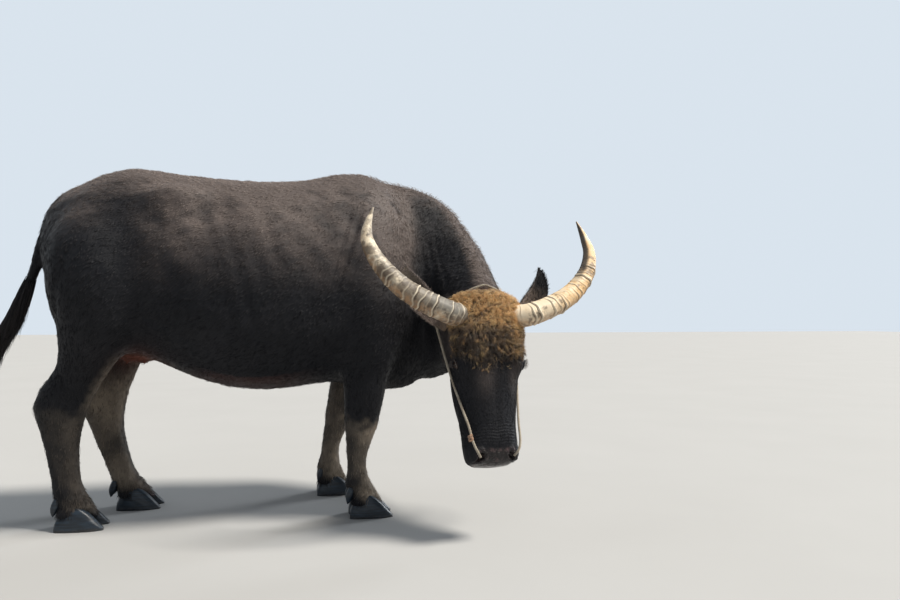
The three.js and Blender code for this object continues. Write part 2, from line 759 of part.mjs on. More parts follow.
add("head", head, HIDE, headGroup);
for (const [name, made] of Object.entries(horns)) add(name, made, HORN_PAINT, headGroup);
for (const [name, made] of Object.entries(eyes)) add(name, made, EYE_PAINT, headGroup);
for (const [name, made] of Object.entries(ears)) add(name, made.subtract(hornCuts), HIDE, headGroup);
const aroundNape = joined(hornCuts, earCuts);
add("halter_nape", napeRope.subtract(aroundNape), ROPE_PAINT, headGroup);
add("halter_knot", knot, ROPE_PAINT, headGroup);
const aroundCheek = joined(aroundNape, grown(napeRope), grown(knot));
for (const [name, made] of Object.entries(cheekRopes)) add(name, made.subtract(aroundCheek), ROPE_PAINT, headGroup);

// Body, parted at the legs, neck and tail.
const legs = Object.fromEntries(Object.entries(STANCE).map(([name, stance]) => [name, legWhole(stance)]));
const legTops = { foreleg_right: ELBOW_Z, foreleg_left: ELBOW_Z, hindleg_right: STIFLE_Z, hindleg_left: STIFLE_Z };
const legJoints = { foreleg_right: KNEE_Z, foreleg_left: KNEE_Z, hindleg_right: HOCK_Z, hindleg_left: HOCK_Z };
const legFree = Object.fromEntries(Object.entries(legs).map(([name, made]) => [name, below(made, legTops[name])]));

const legCuts = Object.entries(legs).map(([name, made]) => below(grown(made), legTops[name] + GAP));
const udder = tidy(udderSolid().subtract(joined(legCuts)));
const fleshCuts = joined(legCuts, grown(dock), grown(udder));
const flesh = joined(trunk, hipBones, neckWhole, Object.values(legs)).simplify(MERGED).subtract(fleshCuts);
const alongCut = NECK_CUT_FOOT.clone().sub(NECK_CUT_TOP).normalize();
const cutNormal = vector(-alongCut.z, 0, alongCut.x);
const cutAt = cutNormal.dot(NECK_CUT_TOP);
const headCut = intoBody(joined(grownAll(headPieces, LOOSE_GROWTH), hornCuts, earCuts, ropeCuts));
const fleshBehindHead = flesh.subtract(headCut);
const torso = fleshBehindHead.trimByPlane(cutNormal.clone().negate().toArray(), -cutAt + GAP / 2);
const neck = fleshBehindHead.trimByPlane(cutNormal.toArray(), cutAt + GAP / 2);
add("torso", torso, HIDE);
add("neck", neck, HIDE);
add("udder", udder, UDDER_SKIN);

const dockCut = DOCK_CUT_Z - GAP;
add("tail_dock", above(dock, DOCK_CUT_Z), HIDE);
add("tail_switch", below(joined(dock, switchLocks()).simplify(MERGED), dockCut), HAIR);

for (const [name, stance] of Object.entries(STANCE)) {
  const { claws, dewclaws } = footSolids(stance);
  const footCuts = joined([...claws, ...dewclaws].map(([, made]) => grown(made)));
  const upper = stance.rows === FORELEG ? "forearm" : "gaskin";
  add(`${name}_${upper}`, above(legFree[name], legJoints[name] + GAP / 2), HIDE);
  add(`${name}_shank`, below(legFree[name], legJoints[name] - GAP / 2).subtract(footCuts), PALE_HIDE);
  for (const [which, made] of claws) add(`${name}_claw_${which}`, made, HOOF_PAINT);
  for (const [which, made] of dewclaws) add(`${name}_dewclaw_${which}`, made, HOOF_PAINT);
}

// The middle of the whole animal's box stands over the origin, its soles on the floor.
model.updateMatrixWorld(true);
const box = new THREE.Box3().setFromObject(model, true);
const middle = box.getCenter(vector());
model.position.set(-middle.x, -middle.y, -box.min.z);

export default model;
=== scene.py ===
"""A life-size still model of a water buffalo: its hide, coat, horns, hooves, eyes, halter and a plain stage.

The file is laid out as a Blender add-on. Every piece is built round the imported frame, in metres, with
+X from tail to chest, +Y to the animal's left and +Z up.
"""
import json
import math

import bmesh
import bpy
import numpy as np
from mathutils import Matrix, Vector

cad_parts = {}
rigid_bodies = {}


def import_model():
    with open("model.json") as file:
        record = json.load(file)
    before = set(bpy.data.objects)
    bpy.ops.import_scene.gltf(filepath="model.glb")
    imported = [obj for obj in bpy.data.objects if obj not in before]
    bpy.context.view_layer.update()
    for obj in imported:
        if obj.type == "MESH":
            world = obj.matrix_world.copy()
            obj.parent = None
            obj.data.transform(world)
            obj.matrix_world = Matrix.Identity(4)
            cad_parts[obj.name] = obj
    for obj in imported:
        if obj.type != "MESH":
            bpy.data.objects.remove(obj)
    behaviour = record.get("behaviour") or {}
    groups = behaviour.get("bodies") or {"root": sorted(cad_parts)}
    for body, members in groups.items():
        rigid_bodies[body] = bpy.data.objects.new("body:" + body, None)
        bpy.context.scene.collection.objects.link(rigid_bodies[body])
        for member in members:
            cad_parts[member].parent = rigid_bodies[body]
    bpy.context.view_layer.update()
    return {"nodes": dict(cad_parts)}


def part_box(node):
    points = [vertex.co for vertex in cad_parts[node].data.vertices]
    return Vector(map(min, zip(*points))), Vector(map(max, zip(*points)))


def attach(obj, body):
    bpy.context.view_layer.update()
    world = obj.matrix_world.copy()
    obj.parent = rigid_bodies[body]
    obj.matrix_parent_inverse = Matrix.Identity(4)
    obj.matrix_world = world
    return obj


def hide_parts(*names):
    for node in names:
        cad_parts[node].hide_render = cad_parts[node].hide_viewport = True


bl_info = {
    "name": "Water Buffalo Model",
    "version": (1, 0, 0),
    "blender": (4, 5, 0),
    "location": "View3D > Sidebar > Buffalo",
    "description": "Builds a life-size water buffalo with its hide, coat, horns, hooves, eyes and halter",
    "category": "Add Mesh",
}

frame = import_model()
MM = 0.001
SIDES = ((1, "left"), (-1, "right"))
CLAWS = ("outer", "inner")

# Where the right fore outer claw's lowest corner lies in the animal's own frame, which has x 0 midway
# between fore and hind feet, y 0 at the midline and z 0 on the floor.
FORE_CLAW_AT = np.array([0.40698, -0.21928, 0.0])
BODY_ORIGIN = np.array(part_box("foreleg_right_claw_outer")[0]) - FORE_CLAW_AT

# The head's own frame, in millimetres: x from poll to muzzle, y to the animal's left, z out of the brow.
HEAD_TURN = math.radians(83)
HEAD_LEAN = math.radians(1)
MUZZLE_OUT = math.radians(12.5)
EYE_AT = np.array([228.0, 103.0, -50.0])
EYE_RADIUS = 20.0
EYE_LOOK = np.array([0.22, 0.9, 0.34])
SLIT_HALF = 17.5

# Head, from poll to muzzle: x, brow line, widest line, jaw line, half width, and the share of that width
# kept at the brow and at the jaw.
HEAD_ROWS = [
    [-8, -46, -85, -118, 62, 0.8, 0.8],
    [14, -14, -78, -168, 104, 0.86, 0.7],
    [60, 4, -62, -218, 121, 0.88, 0.66],
    [125, 6, -56, -246, 121, 0.86, 0.66],
    [190, 2, -58, -252, 118, 0.8, 0.66],
    [250, -6, -72, -244, 117, 0.64, 0.8],
    [310, -13, -88, -228, 113, 0.55, 0.84],
    [370, -18, -95, -204, 105, 0.52, 0.86],
    [425, -20, -94, -170, 97, 0.6, 0.84],
    [470, -20, -91, -150, 96, 0.7, 0.8],
    [508, -28, -90, -144, 95, 0.72, 0.78],
    [538, -46, -92, -136, 86, 0.74, 0.76],
    [556, -68, -96, -122, 54, 0.8, 0.8],
]
# Rounded forms raised on the head, each with its half sizes: brow over the eye, cheek muscle, nostril
# wing and lip on each side, then the chin in the middle.
HEAD_FORMS = [
    ([222, 87, -46], [52, 35, 38]),
    ([156, 78, -158], [96, 40, 84]),
    ([512, 56, -58], [36, 32, 30]),
    ([522, 44, -104], [36, 46, 26]),
    ([510, 0, -136], [50, 56, 24]),
]
NOSTRIL_AT = np.array([526.0, 54.0, -46.0])
NOSTRIL_SLANT = math.radians(28)

# Horn: x, y, z, half thickness and flatness, for the left side of the head.
HORN_ROWS = [
    [74, 86, -40, 37, 0.98],
    [71, 144, 0, 37, 0.96],
    [40, 226, 12, 35.5, 0.92],
    [-8, 302, 8, 33, 0.88],
    [-77, 363, -2, 28, 0.86],
    [-154, 396, -23, 22, 0.88],
    [-218, 393, -40, 14.5, 0.92],
    [-284, 371, -46, 2.2, 1],
]

# Ears: root, bend and tip, for the left side of the head, and the way the cup faces.
EARS = {
    1: ([88, 106, -120], [-34, 294, -142], [-134, 258, -150], [0.25, 0.2, 1]),
    -1: ([88, 106, -120], [-40, 256, -140], [-124, 240, -150], [0.25, 0.2, 1]),
}
EAR_RINGS = 56
EAR_SIDES = 48

# Muscles, bones and hollows of the body, alike on both sides: lift, centre and half sizes, in metres.
BODY_FORMS = [
    (0.006, (-0.19, 0.2, 1.12), (0.07, 0.07, 0.05)),
    (-0.013, (-0.06, 0.26, 1.07), (0.075, 0.12, 0.06)),
    (0.005, (-0.50, 0.16, 1.06), (0.06, 0.07, 0.06)),
    (-0.006, (-0.33, 0.24, 1.02), (0.09, 0.1, 0.08)),
    (0.006, (-0.43, 0.24, 0.85), (0.12, 0.12, 0.14)),
    (0.007, (0.47, 0.2, 0.98), (0.05, 0.15, 0.2)),
    (0.008, (0.40, 0.24, 0.68), (0.07, 0.12, 0.09)),
]

# Top line of the neck in the animal's frame, in millimetres, from the withers to the poll.
CREST_ROWS = [
    [540, 0, 1242],
    [666, -15, 1221],
    [770, -62, 1166],
    [830, -140, 1063],
    [862, -232, 958],
    [868, -325, 868],
    [864, -400, 815],
]

# Dock of the tail in the animal's frame, in millimetres: x, y, z and half thickness.
DOCK_ROWS = [
    [-530, 0, 1150, 40],
    [-592, 0, 1112, 35],
    [-634, -2, 1046, 28],
    [-662, -5, 962, 23],
    [-684, -8, 880, 20.5],
    [-710, -11, 800, 18],
    [-744, -14, 722, 15],
    [-774, -16, 655, 10],
]

# One claw of a hoof, from heel to toe, in millimetres: x, height of the horn wall, half width.
CLAW_ROWS = [
    [0, 26, 15],
    [9, 46, 22],
    [38, 68, 26],
    [68, 79, 26],
    [98, 62, 25],
    [126, 35, 20],
    [146, 14, 12],
    [152, 7, 6],
]
CLAW_SPLAY = math.radians(4)

# Left half of the halter in the head's frame: down the cheek from the ear and into the nostril. The rope
# is taut, so it only bends where it lies on the cheek.
CHEEK_ROPE = [
    [70, 138, -170],
    [148, 130, -143],
    [227, 121, -116],
    [289, 112, -94],
    [352, 100, -73],
    [383, 94, -62],
    [425, 86, -46],
    [464, 82, -34],
    [488, 77, -27],
    [508, 68, -25],
    [523, 57, -36],
]
KNOT_AT = [463, -86, -35]
KNOT_RADIUS = 12.5

# The camera's place in the animal's frame and its turn towards the head. It is tilted up, because the
# photo's horizon lies 18 pixels below its middle and the lens is 700 pixels long.
CAMERA_AT = [0.234, -2.715, 0.71]
CAMERA_TURN = math.radians(12.0)
HORIZON_DROP = 18
LENS_PIXELS = 700
SENSOR_WIDTH = 36.0
FLOOR_HALF = 30.0

# Soft lights from far off: name, the way to it, its width in degrees, its strength and its colour.
SUNS = [
    ("key", (0.52, -0.2, 0.85), 14, 5.2, (1.0, 0.95, 0.87)),
    ("rim", (0.85, 0.45, 0.4), 20, 1.6, (0.9, 0.95, 1.0)),
    ("fill", (-0.2, -1.0, 0.5), 60, 0.25, (0.9, 0.95, 1.0)),
    ("back", (-0.9, 0.5, 0.6), 60, 0.5, (0.9, 0.95, 1.0)),
]

LEGS = {
    "foreleg_right": "forearm",
    "foreleg_left": "forearm",
    "hindleg_right": "gaskin",
    "hindleg_left": "gaskin",
}
BODY_NODES = ["torso", "neck", "udder", "tail_dock"]
BODY_NODES += [f"{leg}_{part}" for leg, upper in LEGS.items() for part in (upper, "shank")]


# Arrays of points

def unit(vectors):
    """Vectors of length 1."""
    return vectors / np.maximum(np.linalg.norm(vectors, axis=-1, keepdims=True), 1e-12)


def smooth_step(low, high, values):
    """0 below low, 1 above high and smooth between; low may be the larger."""
    t = np.clip((values - low) / (high - low), 0, 1)
    return t * t * (3 - 2 * t)


def bump_at(points, centre, sizes):
    """A soft round hill of height 1 at centre."""
    return np.exp(-(((points - np.array(centre)) / np.array(sizes)) ** 2).sum(-1))


def along_rows(rows, t):
    """A smooth curve through rows of numbers, read at every t from 0 to 1."""
    rows = np.array(rows, float)
    place = np.clip(np.asarray(t, float), 0, 1) * (len(rows) - 1)
    k = np.minimum(place.astype(int), len(rows) - 2)
    f = (place - k)[..., None]
    before, a, b = rows[np.maximum(k - 1, 0)], rows[k], rows[k + 1]
    after = rows[np.minimum(k + 2, len(rows) - 1)]
    slope_a, slope_b = (b - before) / 2, (after - a) / 2
    f2, f3 = f * f, f * f * f
    start = a * (2 * f3 - 3 * f2 + 1) + slope_a * (f3 - 2 * f2 + f)
    return start + b * (3 * f2 - 2 * f3) + slope_b * (f3 - f2)


def waves(points, size, seed, layers=3):
    """Smooth repeatable unevenness between about -1 and 1, with lumps of about the given size."""
    rng = np.random.default_rng(seed)
    total = np.zeros(len(points))
    for layer in range(layers):
        for _ in range(5):
            way = unit(rng.normal(size=3)) * 2 * math.pi / size * (1.7 ** layer)
            total += np.sin(points @ way + rng.uniform(0, 2 * math.pi)) * 0.6 ** layer
    return total / 4.5


# Frames of the head and the body

def head_axes():
    """The head's x, y and z as directions in the scene."""
    level = np.array([math.cos(HEAD_TURN), -math.sin(HEAD_TURN), 0])
    up = np.array([0, 0, 1.0])
    z = level * math.cos(MUZZLE_OUT) + up * math.sin(MUZZLE_OUT)
    straight = level * math.sin(MUZZLE_OUT) - up * math.cos(MUZZLE_OUT)
    x = straight * math.cos(HEAD_LEAN) - np.cross(z, straight) * math.sin(HEAD_LEAN)
    return np.array([x, np.cross(z, x), z])


HEAD_AXES = head_axes()
EYE_BOXES = [np.array(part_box(name)).mean(0) for name in ("eye_left", "eye_right")]
HEAD_ORIGIN = np.mean(EYE_BOXES, axis=0) - MM * (EYE_AT * [1, 0, 1]) @ HEAD_AXES


def from_head(points):
    """Points of the head's frame, in millimetres, as places in the scene."""
    return HEAD_ORIGIN + MM * np.asarray(points, float) @ HEAD_AXES


def to_head(points):
    """Places in the scene as points of the head's frame, in millimetres."""
    return (points - HEAD_ORIGIN) @ HEAD_AXES.T / MM


def eye_distance(head):
    """How far points of the head's frame are from the nearer eye, in millimetres."""
    return np.minimum(*[np.linalg.norm(head - EYE_AT * [1, side, 1], axis=1) for side in (1, -1)])


def from_body(points):
    """Points of the animal's frame, in millimetres, as places in the scene."""
    return BODY_ORIGIN + MM * np.asarray(points, float)


# Meshes

def grid_faces(rings, sides):
    """Triangles between rings of points that close on themselves, with a fan on each end ring's middle."""
    ring, side = np.meshgrid(np.arange(rings - 1), np.arange(sides), indexing="ij")
    a = ring * sides + side
    b = ring * sides + (side + 1) % sides
    walls = np.concatenate([np.stack([a, b, b + sides], -1), np.stack([a, b + sides, a + sides], -1)], 1)
    around = np.arange(sides)
    following = (around + 1) % sides
    last = (rings - 1) * sides
    foot = np.stack([following, around, np.full(sides, rings * sides)], -1)
    head = np.stack([last + around, last + following, np.full(sides, rings * sides + 1)], -1)
    return np.concatenate([walls.reshape(-1, 3), foot, head])


def round_grid(rings, sides):
    """How far along and how far round each point of a swept surface lies."""
    return np.meshgrid(np.linspace(0, 1, rings), np.arange(sides) * 2 * math.pi / sides, indexing="ij")


def swept(form, rings, sides):
    """A closed surface from form(t, angle), with t along it and angle round it."""
    points = form(*round_grid(rings, sides))
    ends = np.stack([points[0].mean(0), points[-1].mean(0)])
    return np.concatenate([points.reshape(-1, 3), ends]), grid_faces(rings, sides)


def facing_out(points, triangles):
    """The triangles turned so that their closed surface encloses a positive volume."""
    a, b, c = (points[triangles[:, i]] for i in range(3))
    return triangles if (a * np.cross(b, c)).sum() > 0 else triangles[:, ::-1]


def ball(centre, sizes, rings=20, sides=28):
    """An ellipsoid with its poles on z."""
    def form(t, angle):
        polar = math.pi * (0.02 + 0.96 * t)
        turned = np.stack([np.sin(polar) * np.cos(angle), np.sin(polar) * np.sin(angle), np.cos(polar)], -1)
        return np.array(centre) + turned * np.array(sizes)
    return swept(form, rings, sides)


def join_arrays(parts):
    """Several meshes, given as points and triangles, as one."""
    points, triangles, start = [], [], 0
    for part_points, part_triangles in parts:
        points.append(part_points)
        triangles.append(part_triangles + start)
        start += len(part_points)
    return np.concatenate(points), np.concatenate(triangles)


def mesh_object(name, points, faces, material, values=None, uv=None, smooth=True):
    """A new object from arrays, with a number at each point for each of the named values."""
    mesh = bpy.data.meshes.new(name)
    sides = faces.shape[1]
    mesh.vertices.add(len(points))
    mesh.vertices.foreach_set("co", np.ascontiguousarray(points, np.float32).ravel())
    mesh.loops.add(faces.size)
    mesh.loops.foreach_set("vertex_index", np.ascontiguousarray(faces, np.int32).ravel())
    mesh.polygons.add(len(faces))
    mesh.polygons.foreach_set("loop_start", np.arange(0, faces.size, sides, dtype=np.int32))
    mesh.polygons.foreach_set("use_smooth", np.full(len(faces), smooth))
    if uv is not None:
        layer = mesh.uv_layers.new(name="OFBake")
        layer.data.foreach_set("uv", np.ascontiguousarray(uv[faces.ravel()], np.float32).ravel())
    for key, numbers in (values or {}).items():
        attribute = mesh.attributes.new(key, "FLOAT", "POINT")
        attribute.data.foreach_set("value", np.ascontiguousarray(numbers, np.float32))
    mesh.update(calc_edges=True)
    if mesh.validate():
        raise RuntimeError(f"{name} had faces that are not valid")
    mesh.materials.append(material)
    made = bpy.data.objects.new(name, mesh)
    bpy.context.scene.collection.objects.link(made)
    return made


def placed(made, slot, *nodes):
    """The piece rides on the body and stands for its nodes. The slot is not used."""
    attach(made, "root")
    if nodes:
        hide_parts(*nodes)
    return made


def shell(name, surface, material, slot, *nodes, **values):
    """A placed piece from a closed surface, with its faces turned outwards."""
    points, triangles = surface
    made = mesh_object(name, points, facing_out(points, triangles), material, values)
    return placed(made, slot, *nodes)


def read_mesh(mesh):
    """The points and triangles of a mesh."""
    points = np.empty(len(mesh.vertices) * 3)
    mesh.vertices.foreach_get("co", points)
    mesh.calc_loop_triangles()
    triangles = np.empty(len(mesh.loop_triangles) * 3, np.int64)
    mesh.loop_triangles.foreach_get("vertices", triangles)
    return points.reshape(-1, 3), triangles.reshape(-1, 3)


def point_normals(points, faces):
    """Area-weighted normals at the points, for faces of any one number of sides."""
    sides = faces.shape[1]
    first, second, third, last = (points[faces[:, i]] for i in (0, 1, 2, -1))
    across = third - first
    face_normals = np.cross(across, last - second) if sides == 4 else np.cross(second - first, across)
    total = np.zeros((len(points), 3))
    for axis in range(3):
        shares = np.repeat(face_normals[:, axis], sides)
        total[:, axis] = np.bincount(faces.ravel(), shares, minlength=len(points))
    return unit(total)


# Materials

def node_operator(operation, swapped=False):
    """An operator of Value that adds one Math node."""
    def apply(self, other):
        first, second = (other, self) if swapped else (self, other)
        return self.nodes.node("ShaderNodeMath", {"operation": operation}, {0: first, 1: second})
    return apply


class Value:
    """A socket whose arithmetic adds Math nodes."""

    __add__ = __radd__ = node_operator("ADD")
    __mul__ = __rmul__ = node_operator("MULTIPLY")
    __sub__ = node_operator("SUBTRACT")
    __rsub__ = node_operator("SUBTRACT", swapped=True)

    def __init__(self, nodes, socket):
        self.nodes = nodes
        self.socket = socket


class Nodes:
    """A node tree, with the one method that adds nodes to it."""

    def __init__(self, tree):
        self.tree = tree

    def node(self, kind, settings=None, inputs=None, output=0):
        """Adds a node: its settings first, then the values or links of its sockets."""
        made = self.tree.nodes.new(kind)
        for key, value in (settings or {}).items():
            setattr(made, key, value)
        for key, value in (inputs or {}).items():
            if isinstance(value, Value):
                self.tree.links.new(value.socket, made.inputs[key])
            else:
                made.inputs[key].default_value = value
        return Value(self, made.outputs[output])


class Finish(Nodes):
    """A material with one Principled shader, whose constants are set on its own sockets."""

    def __init__(self, name, **constants):
        self.material = bpy.data.materials.new(name)
        self.material.use_nodes = True
        super().__init__(self.material.node_tree)
        self.shader = self.tree.nodes["Principled BSDF"]
        for key, value in constants.items():
            self.shader.inputs[key.replace("_", " ")].default_value = value
        self.place = self.node("ShaderNodeTexCoord", output="Object")

    def mix(self, factor, a, b, blend="MIX"):
        """From a to b as the factor goes from 0 to 1. Each is a colour of the settings or a mixed one."""
        settings = {"data_type": "RGBA", "blend_type": blend, "clamp_factor": True}
        a, b = (tone if isinstance(tone, Value) else rgba(tone) for tone in (a, b))
        return self.node("ShaderNodeMix", settings, {0: factor, 6: a, 7: b}, output=2)

    def stretched(self, sizes, turn=(0, 0, 0)):
        """Places measured in lumps of the given sizes, along axes turned by the given angles."""
        inputs = {"Vector": self.place, "Scale": sizes, "Rotation": turn}
        return self.node("ShaderNodeMapping", {"vector_type": "TEXTURE"}, inputs)

    def noise(self, scale, detail, roughness=0.55, vector=None):
        inputs = {"Vector": vector or self.place, "Scale": scale, "Detail": detail, "Roughness": roughness}
        return self.node("ShaderNodeTexNoise", None, inputs)

    def cells(self, scale, feature="F1"):
        inputs = {"Vector": self.place, "Scale": scale}
        return self.node("ShaderNodeTexVoronoi", {"feature": feature}, inputs)

    def ramp(self, value, low, high):
        """0 to 1 as the value goes from low to high."""
        inputs = {0: value, 1: low, 2: high, 3: 0.0, 4: 1.0}
        return self.node("ShaderNodeMapRange", {"interpolation_type": "SMOOTHSTEP"}, inputs)

    def at(self, key):
        """The number that the mesh holds at each point under this name."""
        return self.node("ShaderNodeAttribute", {"attribute_name": key}, output="Fac")

    def bump(self, height, distance, strength, under=None):
        inputs = {"Height": height, "Distance": distance, "Strength": strength}
        if under is not None:
            inputs["Normal"] = under
        return self.node("ShaderNodeBump", None, inputs)

    def set(self, **links):
        """Feeds sockets of the shader, and gives the finished material."""
        for key, value in links.items():
            self.tree.links.new(value.socket, self.shader.inputs[key.replace("_", " ")])
        return self.material


def rgba(colour):
    return (*colour[:3], 1.0)


def hide_paint(colours):
    """Dark hide with pale lower legs, reddish bare skin and a wet nose. Sunlight and sheen are painted on the upper
    parts, shade deep in the nostrils and along the mouth, and highlights on the wet nose.
    """
    paint = Finish("hide", Sheen_Weight=0.02, Sheen_Roughness=0.4, Specular_IOR_Level=0.16,
                   Coat_Roughness=0.12)
    mottle = paint.noise(6, 5, 0.6)
    fine = paint.noise(90, 4, 0.6)
    slanting = paint.noise(1, 3, 0.6, paint.stretched((0.035, 0.012, 0.0026), (0, math.radians(-40), 0)))
    hanging = paint.noise(1, 3, 0.6, paint.stretched((0.0026, 0.0026, 0.03)))
    streaks = slanting + paint.at("upright") * (hanging - slanting)
    dark = paint.mix(paint.ramp(mottle, 0.3, 0.75), colours.hide_dark, colours.hide_light)
    # Painted sunlight and sheen: the 'brown' share lightens the hide on the back, shoulder, crest and face.
    dark = paint.mix(paint.at("brown") * (0.45 + 0.55 * mottle), dark, colours.painted_sunlight)
    pale = paint.mix(paint.ramp(mottle, 0.25, 0.8), colours.stocking, colours.stocking_light)
    skin = paint.mix(paint.at("pale"), dark, pale)
    skin = paint.mix(paint.at("pink") * paint.ramp(mottle, 0.1, 0.7), skin, colours.bare_skin)
    # The wet nose's paler patches are partly its own pink mottling and partly painted highlights of its shine.
    patches = paint.ramp(paint.noise(45, 4, 0.65), 0.5, 0.68)
    nose = paint.mix(patches, colours.nose, colours.nose_pink_and_shine)
    skin = paint.mix(paint.at("wet"), skin, nose)
    haired = 1.0 - paint.at("wet")
    skin = paint.mix(0.5 * paint.ramp(streaks, 0.5, 0.72) * haired, skin, colours.hair_sheen, "SCREEN")
    # Painted shade deep in the nostrils and along the mouth.
    skin = paint.mix(paint.at("painted_crease_shade"), skin, colours.painted_crease_shade)
    rough = 0.44 + 0.22 * fine - 0.42 * paint.at("wet") + 0.12 * paint.at("pale")
    pores = paint.cells(150, "DISTANCE_TO_EDGE")
    creases = paint.cells(42, "DISTANCE_TO_EDGE")
    pebbles = paint.ramp(paint.cells(240, "DISTANCE_TO_EDGE"), 0.0, 0.2) * paint.at("wet")
    height = 0.25 * paint.ramp(pores, 0.0, 0.12) + 1.3 * streaks * haired + 0.3 * fine
    folds = paint.bump(paint.ramp(creases, 0.0, 0.1), 0.0009, 0.16)
    normal = paint.bump(height + 1.4 * pebbles, 0.0012, 0.75, folds)
    return paint.set(Base_Color=skin, Roughness=rough, Normal=normal, Coat_Weight=0.35 * paint.at("wet"))


def coat_paint(name, colours, sheen=0.02):
    """Hair with dark roots and paler tips, coloured by the skin under it and by its own tint."""
    paint = Finish(name, Sheen_Weight=sheen, Sheen_Roughness=0.4, Specular_IOR_Level=0.13)
    tip, tint = paint.at("tip"), paint.at("tint")
    dark = paint.mix(tint, colours.hair_dark, colours.hair_light)
    # The 'brown' share is the hair's own pale brown on lashes, ears and tail, and painted sunlight and sheen on the
    # body, crest and forehead.
    dark = paint.mix(paint.at("brown") * (0.35 + 0.65 * tip), dark, colours.hair_tan_and_sunlight)
    pale = paint.mix(tint, colours.stocking, colours.stocking_light)
    hair = paint.mix(paint.at("pale"), dark, pale)
    hair = paint.mix(paint.at("pink") * 0.6, hair, colours.bare_skin)
    gold = paint.mix(tint, colours.gold_dark, colours.gold_light)
    hair = paint.mix(paint.at("gold") * paint.ramp(tip, -0.3, 0.3), hair, gold)
    return paint.set(Base_Color=hair, Roughness=0.55 - 0.2 * tint)


def horn_paint(colours):
    """Cream and grey horn with dark grooves, pale ridges, flecks, stains and a browned lower side."""
    paint = Finish("horn", Specular_IOR_Level=0.5)
    along, groove, under = paint.at("along"), paint.at("groove"), paint.at("under")
    mottle = paint.noise(11, 6, 0.7)
    fibres = paint.noise(75, 5, 0.65)
    patches = paint.noise(23, 5, 0.6)
    warm = paint.at("warm")
    # Painted light: the left horn is made paler, less grey, more ochre and less stained than the right one, as
    # painted sunlight on the left horn and painted shade on the right.
    greyed = paint.ramp(mottle - 0.26 * paint.at("horn_in_sun") - 0.14 * paint.ramp(along, 0.6, 0.75), 0.28, 0.5)
    base = paint.mix(greyed, colours.cream, colours.grey)
    base = paint.mix(warm * paint.ramp(patches, 0.22, 0.55), base, colours.ochre)
    base = paint.mix(0.8 * under * paint.ramp(fibres, 0.25, 0.65), base, colours.tan)
    flecks = paint.ramp(paint.cells(48), 0.34, 0.12) * paint.ramp(mottle, 0.45, 0.6)
    base = paint.mix(0.75 * flecks, base, colours.brown)
    middle = paint.ramp(along, 0.42, 0.52) * paint.ramp(along, 0.74, 0.62)
    stained = paint.ramp(patches + 0.08 * (1.0 - warm) + 0.1 * middle, 0.58, 0.68)
    base = paint.mix(0.7 * stained, base, colours.brown)
    base = paint.mix(0.8 * paint.at("lip"), base, colours.cream)
    base = paint.mix(groove * (0.4 + 0.8 * fibres), base, colours.brown)
    # Painted shade: near-black along the inner edge of the left horn's point.
    base = paint.mix(0.9 * paint.at("black"), base, colours.black)
    height = fibres * 0.8 + mottle * 0.8
    return paint.set(Base_Color=base, Roughness=0.4 + 0.3 * mottle, Normal=paint.bump(height, 0.0016, 0.6))


def hoof_paint(colours):
    """Black horn with growth rings, dusty at the floor, with a blue tint that is a painted reflection of the sky."""
    paint = Finish("hoof", Specular_IOR_Level=0.5)
    rings = paint.noise(1, 4, 0.6, paint.stretched((0.07, 0.07, 0.0045)))
    mottle = paint.noise(28, 4)
    base = paint.mix(paint.ramp(rings, 0.35, 0.7), colours.hoof_dark, colours.hoof_light)
    dust = paint.ramp(paint.at("height"), 0.016, 0.0) * paint.ramp(paint.noise(160, 4), 0.25, 0.75)
    base = paint.mix(dust * 0.25, base, colours.dust)
    rough = 0.24 + 0.3 * mottle + 0.3 * dust
    return paint.set(Base_Color=base, Roughness=rough, Normal=paint.bump(rings + 0.4 * mottle, 0.0008, 0.7))


def eye_paint(colours):
    """A dark brown iris with a level pupil, under a wet surface."""
    paint = Finish("eye", Roughness=0.05, Specular_IOR_Level=0.4)
    iris = paint.mix(paint.noise(700, 3), colours.iris_dark, colours.iris)
    ring = paint.mix(paint.ramp(paint.at("out"), 0.5, 0.66), iris, colours.eye_white)
    base = paint.mix(paint.ramp(paint.at("pupil"), 1.15, 0.9), ring, colours.pupil)
    return paint.set(Base_Color=base)


def rope_paint(colours):
    """Worn twisted cord, pale and a little soiled."""
    paint = Finish("rope", Roughness=0.85, Sheen_Weight=0.3, Specular_IOR_Level=0.3)
    soil = paint.noise(45, 4)
    fibre = paint.noise(1500, 2)
    base = paint.mix(paint.ramp(soil, 0.35, 0.75), colours.cord, colours.cord_soiled)
    base = paint.mix(paint.at("knot"), base, colours.cord_knot)
    return paint.set(Base_Color=base, Normal=paint.bump(fibre, 0.0004, 0.8))


def floor_paint(colours):
    """A plain dull floor, a little uneven in tone."""
    paint = Finish("floor", Roughness=0.9, Specular_IOR_Level=0.2)
    base = paint.mix(paint.noise(1.5, 4), colours.floor, colours.floor_light)
    return paint.set(Base_Color=base)


# Hide

